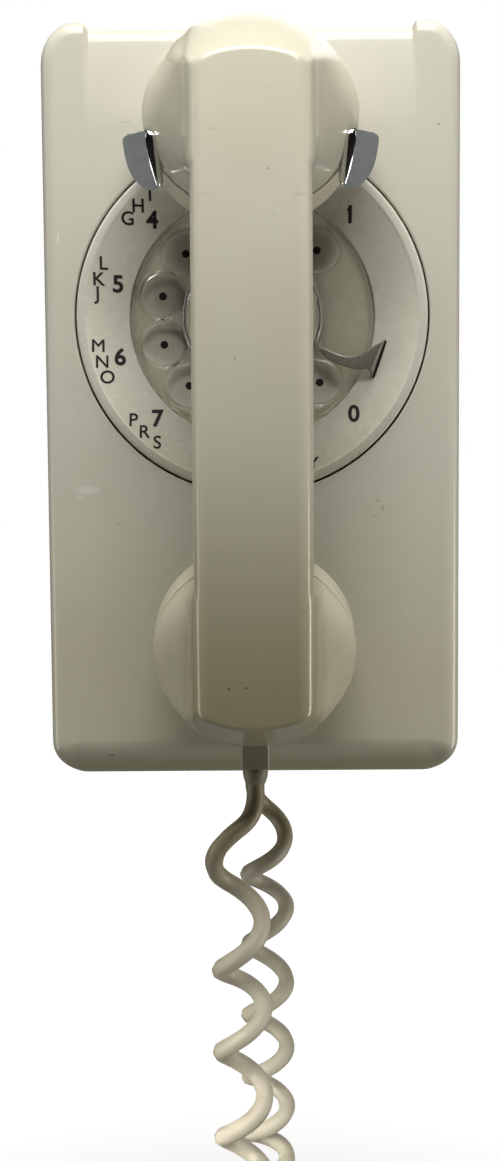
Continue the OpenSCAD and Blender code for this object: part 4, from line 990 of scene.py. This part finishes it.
class PHONE_OT_wheel(Operator):
    """Turn the clear finger wheel with its beaded holes, the ring and window over the number card"""
    bl_idname = "phone.wheel"
    bl_label = "Finger wheel"

    def execute(self, context):
        disc = rounded([(4.0, WHEEL_BACK), (WHEEL_R, WHEEL_BACK), (WHEEL_R, WHEEL_FRONT), (4.0, WHEEL_FRONT)], 1.1, 5)
        places = [(HOLE_RING * math.cos(a), DIAL_Z + HOLE_RING * math.sin(a)) for a in HOLE_ANGLES]
        funnel = rounded([(0, 66.6), (HOLE_R + 1.0, 66.6), (HOLE_R + 0.35, WHEEL_FRONT - 0.05),
                          (HOLE_R, WHEEL_FRONT - 0.5), (HOLE_R, WHEEL_BACK + 0.35), (HOLE_R + 0.4, WHEEL_BACK - 0.1),
                          (HOLE_R + 0.4, 62.4), (0, 62.4)], 0.25, 3)
        bm = carved(turned(disc + [(4.0, WHEEL_FRONT - 0.1)], steps=180),
                    joined([turned(funnel, steps=64, closed=False, at=p) for p in places]))
        bead = [(HOLE_R + 0.95 + 0.34 * math.cos(a), WHEEL_FRONT - 0.02 + 0.3 * math.sin(a))
                for a in (TURN * k / 10 for k in range(10))]
        bm = joined([bm] + [turned(bead, steps=64, at=p) for p in places])
        finish_piece("clear_wheel", bm, "dial_wheel", "clear", replaces=["finger_wheel"], smooth=35)
        window = turned([(0, 66.75), (19.6, 66.75), (20.6, 66.3), (20.9, 66.3), (20.9, 66.8), (20.2, 67.15), (14, 67.4),
                         (0, 67.5)], steps=120, closed=False)
        finish_piece("card_window", window, "dial_wheel", "clear")
        ring = turned(rounded([(20.9, WHEEL_FRONT + 0.02), (CARD_R - 0.05, WHEEL_FRONT + 0.02), (CARD_R - 0.05, 66.6),
                               (21.5, 67.55), (20.7, 67.3), (20.9, WHEEL_FRONT + 0.02)], 0.35, 4)[:-1], steps=120)
        finish_piece("card_ring", ring, "dial_wheel", "chrome", replaces=["card_holder"], smooth=50)
        return {"FINISHED"}


class PHONE_OT_stop(Operator):
    """Bend the plated finger stop over the wheel"""
    bl_idname = "phone.stop"
    bl_label = "Finger stop"

    def execute(self, context):
        across = 5

        def place(i, j):
            upper, lower, front = STOP_ROWS[j]
            x, z = Vector(upper).lerp(Vector(lower), i / (across - 1))
            return x, -front, DIAL_Z + z
        bm = sheet(across, len(STOP_ROWS), place)
        thicken(bm, 0.9)
        bmesh.ops.recalc_face_normals(bm, faces=bm.faces)
        bevel(bm, [e for e in bm.edges if len(e.link_faces) == 2 and e.calc_face_angle(0) > math.radians(60)], 0.22, 2)
        finish_piece("stop_blade", bm, "base", "stop", replaces=["finger_stop"], smooth=60)
        return {"FINISHED"}


class PHONE_OT_characters(Operator):
    """Print the digits, letters and dots of the dial"""
    bl_idname = "phone.characters"
    bl_label = "Characters"

    def execute(self, context):
        sizes = context.scene.phone_sizes
        groups = ("", "ABC", "DEF", "GHI", "JKL", "MNO", "PRS", "TUV", "WXY", "")
        marks = []
        for i, digit in enumerate("1234567890"):
            angle = 46 + 30 * i
            marks.append((digit, DIGIT_RING, angle, sizes.digit_height, 0.025 if digit in "38" else 0.04))
            turn = LETTER_GAP * (-1 if angle < 180 else 1)
            marks += [(letter, LETTER_RING, angle + turn * k, sizes.letter_height, 0.0 if letter in "MNW" else 0.02)
                      for k, letter in zip((-1, 0, 1), groups[i])]
        printed = bmesh.new()
        for text, r, angle, height, weight in marks:
            curve = bpy.data.curves.new("character", "FONT")
            curve.body, curve.size = text, height / MM / CAPITAL
            curve.align_x = curve.align_y = "CENTER"
            curve.extrude, curve.offset = 0.05, weight * height / MM
            curve.resolution_u = 6
            made = link("character", curve)
            one = to_bmesh(as_mesh(made))
            bpy.data.objects.remove(made)
            bpy.data.curves.remove(curve)
            bmesh.ops.remove_doubles(one, verts=one.verts, dist=0.001)
            bmesh.ops.recalc_face_normals(one, faces=one.faces)
            xs, ys = [v.co.x for v in one.verts], [v.co.y for v in one.verts]
            middle = ((min(xs) + max(xs)) / 2, (min(ys) + max(ys)) / 2)
            if text == "1":
                flag = block((-1.3, -0.45, -0.05), (0.0, 0.3, 0.05))
                for v in flag.verts:
                    v.co.y += 0.75 * v.co.x
                bmesh.ops.translate(flag, verts=flag.verts, vec=(max(xs) - 0.2, max(ys) - 0.35, 0))
                one = joined([one, flag])
            if text in "MNW":
                heavy = one.copy()
                bmesh.ops.translate(heavy, verts=heavy.verts, vec=(0.13, 0, 0.004))
                one = joined([one, heavy])
            cx, cz = 0.4 + r * math.cos(math.radians(angle)), r * math.sin(math.radians(angle))
            for v in one.verts:
                x, z, out = cx + v.co.x - middle[0], cz + v.co.y - middle[1], v.co.z
                v.co = (x, -(dish(math.hypot(x, z)) + 0.02 + out), DIAL_Z + z)
            printed = joined([printed, one])
        dots = [rod(0.2 + HOLE_RING * math.cos(a), DIAL_Z + HOLE_RING * math.sin(a), DOT_R, FLOOR + 0.06, FLOOR - 0.1,
                    32) for a in HOLE_ANGLES]
        printed = joined([printed, *dots])
        finish_piece("dial_print", printed, "base", "ink", smooth=20)
        return {"FINISHED"}


# ---------------------------------------------------------------- housing

BODY_W, BODY_H, BODY_D, DRAFT, EDGE_R = 130.8, 237.0, 70.0, 1.15, 4.5
WALL_ROWS = 6
CORNER_X, CORNER_TOP, CORNER_LOW = 11.0, 13.0, 12.0
STEP_X, STEP_D, STEP_LOW = 51.0, 2.0, 86.0
CAVITY_X, CAVITY_R, COVE_R, OPENING_R, OPENING_EDGE = 62.8, 7.4, 8.6, 55.6, 0.7
CAVITY_TOP, CAVITY_LOW = 113.9, -115.9
SCREW_AT, SCREW_HOLE_R = (-38, -9), 2.2
# Columns beside the shoulder's step, and distances in from the edge of the rows and columns round the corners
NEAR_STEP = (49.4, 49.9, 50.25, 50.5, 50.75, 51.0, 51.25, 51.5, 51.8, 52.3, 53.2)
ROUND_CORNER = (9.8, 8.4, 7.0, 5.8, 4.7, 3.9, 3.1, 2.4, 1.75, 1.2, 0.75, 0.4, 0.15, 0.0)


def low_edge(e):
    """Depth of the lower front edge at distance e in from the bottom: a soft bend, a slope and a small round."""
    slope, soft = 0.8 * (9.2 - e), 2.6
    near = max(soft - abs(slope), 0.0) / soft
    end = max(1.5 - e, 0.0)
    return max(slope, 0.0) + near * near * soft * 0.25 + 1.5 - math.sqrt(1.5 ** 2 - end * end)


def side_edge(e):
    end = max(EDGE_R - e, 0.0)
    return EDGE_R - math.sqrt(EDGE_R ** 2 - end * end)


def front_point(x, a, z, b, top):
    """A point of the housing's front from flat (x, z) and shares (a, b) of the way through the corner."""
    reach = CORNER_TOP if top else CORNER_LOW
    share = max(a, b)
    turn = 0.0 if share == 0 else math.pi / 4 * b / a if a >= b else math.pi / 2 - math.pi / 4 * a / b
    if a > 0 and b > 0:
        out, rise = share * math.cos(turn), share * math.sin(turn)
    else:
        out, rise = a, b
    px = x + CORNER_X * out
    pz = z + (reach if top else -reach) * rise
    inside = (1 - share) * (CORNER_X * math.cos(turn) ** 2 + reach * math.sin(turn) ** 2)
    depth = side_edge(inside)
    if b > 0 and not top:
        under = smooth_step(turn, 0.25, 1.3)
        depth = depth * (1 - under) + low_edge(inside) * under
    if share == 0:
        depth = 0.0
    if top or z > STEP_LOW:
        between = 1 - smooth_step(px, STEP_X - 1.0, STEP_X + 0.8)
        rise = min(max((pz - STEP_LOW) / (BODY_H / 2 - STEP_LOW), 0.0), 1.0)
        depth += STEP_D * between * rise ** 1.4
        pz -= STEP_D * between * rise
    return px, -BODY_D + depth, pz


class PHONE_OT_housing(Operator):
    """Form the housing with its shoulders, soft edges and openings"""
    bl_idname = "phone.housing"
    bl_label = "Housing"

    def execute(self, context):
        flat_x = BODY_W / 2 - CORNER_X
        half = [(x, 0.0) for x in (*(4.0 * i for i in range(13)), *NEAR_STEP)]
        half += [(flat_x, 1 - e / CORNER_X) for e in (CORNER_X, *ROUND_CORNER)]
        columns = [(-1, *c) for c in reversed(half[1:])] + [(1, *c) for c in half]
        high, low = BODY_H / 2 - CORNER_TOP, -BODY_H / 2 + CORNER_LOW
        rows = [(low, 1 - e / CORNER_LOW, False) for e in reversed((CORNER_LOW, 10.8, *ROUND_CORNER))]
        rows += [(low + (STEP_LOW - low) * i / 26, 0.0, False) for i in range(1, 26)]
        rows += [(STEP_LOW + (high - STEP_LOW) * i / 9, 0.0, True) for i in range(9)]
        rows += [(high, 1 - e / CORNER_TOP, True) for e in (CORNER_TOP, *ROUND_CORNER)]

        def place(i, j):
            side, x, a = columns[i]
            px, py, pz = front_point(x, a, *rows[j])
            return side * px, py, pz
        bm = sheet(len(columns), len(rows), place)
        # The walls, in rows back to the wall plane
        for left in range(WALL_ROWS, 0, -1):
            rim = [e for e in bm.edges if len(e.link_faces) == 1]
            moved = {v for v in bmesh.ops.extrude_edge_only(bm, edges=rim)["geom"] if isinstance(v, bmesh.types.BMVert)}
            for v in moved:
                start = v.co.y
                v.co.y = start * (1 - 1 / left)
                v.co.x *= 1 + DRAFT / (BODY_W / 2) * (v.co.y - start) / 65
        bmesh.ops.edgenet_fill(bm, edges=[e for e in bm.edges if len(e.link_faces) == 1])
        bmesh.ops.recalc_face_normals(bm, faces=bm.faces)
        # The cavity: its front face, and its lower edge as a cove
        cavity = bmesh.new()
        levels = [(1, 0, 0), (-63.5, 0, 0), (-65.4, 1.9, 1.9)]
        levels += [(-56.8 - COVE_R * math.sin(t), 0 if t < 0.9 else 1.9, COVE_R * (1 - math.cos(t)))
                   for t in (math.pi / 10 * k for k in range(6))]
        for y, inset, raised in levels:
            for side in (-1, 1):
                for corner_z, sign in ((CAVITY_TOP - inset, 1), (CAVITY_LOW + raised, -1)):
                    if sign > 0 or (y, raised) not in ((-63.5, 0), (-65.4, 1.9)):
                        for a in (math.pi / 12 * k for k in range(7)):
                            x = CAVITY_X - inset - CAVITY_R + CAVITY_R * math.cos(a)
                            cavity.verts.new((side * x, y, corner_z - sign * CAVITY_R + sign * CAVITY_R * math.sin(a)))
        bmesh.ops.convex_hull(cavity, input=cavity.verts)
        bmesh.ops.delete(cavity, geom=[v for v in cavity.verts if not v.link_faces], context="VERTS")
        # Openings: the dial's with its rounded edge, two for the hook, then volume wheel, screw and cord
        opening = [(0, BODY_D + 1), (OPENING_R + OPENING_EDGE, BODY_D + 1)]
        opening += [(OPENING_R + OPENING_EDGE - OPENING_EDGE * math.sin(t),
                     BODY_D - OPENING_EDGE + OPENING_EDGE * math.cos(t)) for t in (math.pi / 8 * k for k in range(5))]
        opening += [(OPENING_R, 62.0), (0, 62.0)]
        tools = [turned(opening, steps=256, closed=False)]
        for side in (-1, 1):
            left, right = sorted((side * 28.5, side * 32.5))
            slot = block((left, -73, 76.4), (right, -63, 91.0))
            bevel(slot, edges_along_y(slot), 1.0, 3)
            tools.append(slot)
        tools.append(block((20.4, -46, -120), (23.6, -30, -115)))
        tools += [standing(*SCREW_AT, SCREW_HOLE_R, -120, -113), standing(*SCREW_AT, 3.8, -120, -116.5),
                  standing(0, -34, 4.5, -120, -115)]
        bm = carved(bm, cavity, *tools)
        ribs = [carved(standing(*SCREW_AT, 5.0, -116.2, -110.2, 48), standing(*SCREW_AT, SCREW_HOLE_R, -119, -107))]
        for side in (-1, 1):
            left, right = sorted((side * 16, side * 28))
            ribs.append(block((left, -6.5, 110.3), (right, -5, 114.2)))
            left, right = sorted((side * 58.8, side * 63.1))
            ribs += [block((left, -65.6, z), (right, -45.4, z + 2)) for z in (-70, -30, 92)]
        bm = joined([bm, *ribs])
        finish_piece("housing_shell", bm, "base", "housing", replaces=["housing"], smooth=38, even=True)
        return {"FINISHED"}


# ---------------------------------------------------------------- caps, boot and hook

def ring_of_rods(rings, low, high, matrix):
    """Cylinders on rings of (radius, count, cylinder's radius) about a place."""
    return joined([cylinder(radius, high - low, matrix @ Matrix.Translation(
        (ring_r * math.cos(a), ring_r * math.sin(a), (low + high) / 2)), 24)
        for ring_r, count, radius in rings for a in (TURN * i / count for i in range(count))])


class PHONE_OT_caps(Operator):
    """Turn the receiver's and the transmitter's caps, each with its bead beside the seam and its holes"""
    bl_idname = "phone.caps"
    bl_label = "Handset caps"

    def execute(self, context):
        for name, node, z, tilt, r, rings in (
                ("receiver_cover", "receiver_cap", 85.0, -1, RECEIVER_R, ((0, 1, 1.1), (4.5, 6, 1.1))),
                ("transmitter_cover", "transmitter_cap", -75.5, 1, TRANSMITTER_R,
                 ((0, 1, 1.3), (5, 6, 1.3), (10, 12, 1.3)))):
            place = Matrix.Translation((0, SEAM_Y, z)) @ Matrix.Rotation(-math.pi / 2 + tilt * TILT, 4, "X")
            outer = rounded([(r - 2.5, 0.35), (r - 0.1, 0.35), (r, 1.3), (r - 0.55, 1.6), (r - 0.05, 2.0), (r, 8.0)],
                            0.35, 3)
            outer += [(r - 3 + 3 * math.cos(t), 10 + 3 * math.sin(t)) for t in (math.pi / 16 * k for k in range(9))]
            outer += rounded([(r - 4, 13), (r - 5.5, 13), (r - 7, 12.3), (r - 12, 11.6), (0, 11.4)], 1.0, 3)
            inner = [(0, 9.1), (r - 12, 9.3), (r - 6.5, 10.4), (r - 3.4, 9.6), (r - 2.5, 8)]
            bm = lathe(outer + inner, place, steps=144, closed=False)
            # Closes the inner wall between the last and the first point of the profile
            bmesh.ops.bridge_loops(bm, edges=[e for e in bm.edges if len(e.link_faces) == 1])
            bm = carved(bm, ring_of_rods(rings, 7.0, 15.0, place))
            finish_piece(name, bm, "handset", "handset", replaces=[node], smooth=40, even=True)
        return {"FINISHED"}


BOOT_Y = -97.32


class PHONE_OT_boots(Operator):
    """Make the cord's boot below the handset and its grommet in the housing"""
    bl_idname = "phone.boots"
    bl_label = "Boot and grommet"

    def execute(self, context):
        low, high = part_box("handset_boot")
        x, y, z, top = (low.x + high.x) / 2 / MM, BOOT_Y, low.z / MM, high.z / MM
        body = block((x - 4.15, y - 3.6, z + 4.7), (x + 4.15, y + 3.6, top))
        bevel(body, body.edges[:], 0.5, 3)
        finish_piece("boot_block", body, "handset", "boot", replaces=["handset_boot"], smooth=50, even=True)
        bulb = lathe(rounded([(0, 5.2), (3.6, 5.2), (3.9, 4.2), (3.7, 2.2), (3.1, 0.3), (2.9, 0.02), (0, 0.02)], 0.6),
                     Matrix.Translation((x, y, z)), steps=64, closed=False)
        finish_piece("boot_bulb", bulb, "handset", "rubber", smooth=60)
        low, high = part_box("cord_grommet")
        x, y, z = (low.x + high.x) / 2 / MM, (low.y + high.y) / 2 / MM, low.z / MM
        height = (high.z - low.z) / MM
        ring = [(2.9, 0), (4.2, 0), (4.4, 1.7), (6.0, 1.7), (6.0, 2.95), (4.45, 2.95), (4.45, height - 1.3),
                (6.0, height - 1.3), (6.0, height - 0.1), (2.9, height - 0.1)]
        finish_piece("grommet_ring", lathe(rounded(ring, 0.35, 3), Matrix.Translation((x, y, z)), steps=64),
                     "base", "rubber", replaces=["cord_grommet"], smooth=50)
        return {"FINISHED"}


# In the hook's own frame, for its right side: outline of an ear, and rows of the rolled strip from its top to its
# foot, each with the inner and the outer (x, z) and how far it is set back
EAR = rounded([(29.95, 1.2), (30.0, 3.95), (31, 4.15), (35.9, 2.9), (36.9, 2.1), (36.7, -0.3), (36.2, -3.4),
               (35.4, -6.4), (34.1, -8.9), (32.6, -10.6), (31, -11.9), (28.9, -12.5), (27.4, -12.1), (26.9, -11.2),
               (28.0, -8.3), (28.9, -5.1), (29.5, -2.2)], 0.8, 3)
STRIP_ROWS = [((30.3, 3.9), (29.5, 4.1), 1.3), ((30.0, 3.5), (28.0, 3.9), 0.45), ((29.95, 2.9), (26.8, 3.3), 0.1),
              ((29.95, 2.3), (26.2, 2.6), 0), ((29.9, 1.2), (25.95, 1.2), 0), ((29.7, -0.5), (25.85, -0.7), 0),
              ((29.4, -2.2), (25.8, -2.6), 0), ((29.1, -3.8), (25.75, -4.4), 0), ((28.7, -5.6), (25.75, -6.4), 0),
              ((28.2, -7.7), (25.8, -8.4), 0), ((27.7, -9.4), (25.9, -10), 0.1), ((27.2, -10.7), (26.3, -11.3), 0.5)]
HOOK_FRAME = Matrix.Translation((0, -22, 90.5)) @ Matrix.Rotation(math.radians(11.6), 4, "X")
ARM_X, ARM_T, ARM_Z = 29.2, 2.6, 3.5          # inner face, thickness and half height of the arms
ARM_WIDE_X, ARM_BEND, ARM_SPREAD, ARM_END = 33, -49.5, -57, -83.7
EAR_FRONT, EAR_T = -86.1, 2.5


class PHONE_OT_hook(Operator):
    """Shape the hook: sloped arms, dull ears with a bevel and a bright rolled edge on each"""
    bl_idname = "phone.hook"
    bl_label = "Hook"

    def execute(self, context):
        across = 9

        def place(i, j):
            s = i / (across - 1)
            inner, outer, back = STRIP_ROWS[j]
            x, z = Vector(inner).lerp(Vector(outer), s)
            return x, -85.75 - 0.85 * math.sin(math.pi * s ** 0.8) + 0.8 * s + back, z
        line = [(ARM_X, 0), (ARM_X, ARM_BEND), (ARM_WIDE_X, ARM_SPREAD), (ARM_WIDE_X, ARM_END)]
        plan = line + [(x + ARM_T, y) for x, y in reversed(line)]
        ears, strips, arms = [], [], []
        for side in (-1, 1):
            ear = prism([(x, EAR_FRONT, z) for x, z in EAR], (0, EAR_T, 0))
            rim = [e for e in ear.edges if all(v.co.y < -86 for v in e.verts)]
            middle = [(e.verts[0].co + e.verts[1].co) / 2 for e in rim]
            wide = [e for e, m in zip(rim, middle) if m.x > 30.2 and m.z < 2.4 or m.z < -11.4]
            bevel(ear, wide, 1.35, 2, clamp_overlap=True)
            strip = sheet(across, len(STRIP_ROWS), place)
            thicken(strip, 0.5)
            arm = prism([(x, y, -ARM_Z) for x, y in plan], (0, 0, 2 * ARM_Z))
            bevel(arm, [e for e in arm.edges if e.calc_face_angle(0) > 1], 0.35, 2)
            for one, group in ((ear, ears), (strip, strips), (arm, arms)):
                bmesh.ops.transform(one, matrix=HOOK_FRAME @ Matrix.Diagonal((side, 1, 1, 1)), verts=one.verts)
                group.append(one)
            boss_at = Matrix.Translation((side * (ARM_X + ARM_T / 2), 0, 0)) @ Matrix.Rotation(math.pi / 2, 4, "Y")
            arms.append(cylinder(ARM_Z, ARM_T, HOOK_FRAME @ boss_at, 48))
        bar = block((-31.7, -11, -ARM_Z), (31.7, -8, ARM_Z))
        bevel(bar, bar.edges[:], 0.4, 2)
        bmesh.ops.transform(bar, matrix=HOOK_FRAME, verts=bar.verts)
        finish_piece("hook_ears", joined(ears), "hook", "hook", replaces=["hook_yoke"], smooth=30, even=True)
        finish_piece("hook_strips", joined(strips), "hook", "chrome", smooth=70)
        finish_piece("hook_arms", joined([*arms, bar]), "hook", "steel", replaces=["hook_yoke"], smooth=35)
        return {"FINISHED"}


# ---------------------------------------------------------------- the add-on

class PHONE_PT_panel(Panel):
    """Lists the steps that make the telephone"""
    bl_label = "Telephone"
    bl_idname = "PHONE_PT_panel"
    bl_space_type = "VIEW_3D"
    bl_region_type = "UI"
    bl_category = "Telephone"

    def draw(self, context):
        for group in (context.scene.phone_sizes, context.scene.phone_colours):
            box = self.layout.box()
            for key in group.__annotations__:
                box.prop(group, key)
        for step in STEPS:
            self.layout.operator(step.bl_idname)


STEPS = (PHONE_OT_finishes, PHONE_OT_camera, PHONE_OT_cord, PHONE_OT_housing, PHONE_OT_handset, PHONE_OT_caps,
         PHONE_OT_boots, PHONE_OT_hook, PHONE_OT_plate, PHONE_OT_wheel, PHONE_OT_stop, PHONE_OT_characters,
         PHONE_OT_stage)
CLASSES = (PhoneSizes, PhoneColours, *STEPS, PHONE_PT_panel)


def register():
    for one in CLASSES:
        bpy.utils.register_class(one)
    bpy.types.Scene.phone_sizes = PointerProperty(type=PhoneSizes)
    bpy.types.Scene.phone_colours = PointerProperty(type=PhoneColours)


def unregister():
    del bpy.types.Scene.phone_colours
    del bpy.types.Scene.phone_sizes
    for one in reversed(CLASSES):
        bpy.utils.unregister_class(one)


def main():
    register()
    for step in STEPS:
        getattr(bpy.ops.phone, step.bl_idname.split(".")[1])()


if __name__ == "__main__":
    main()
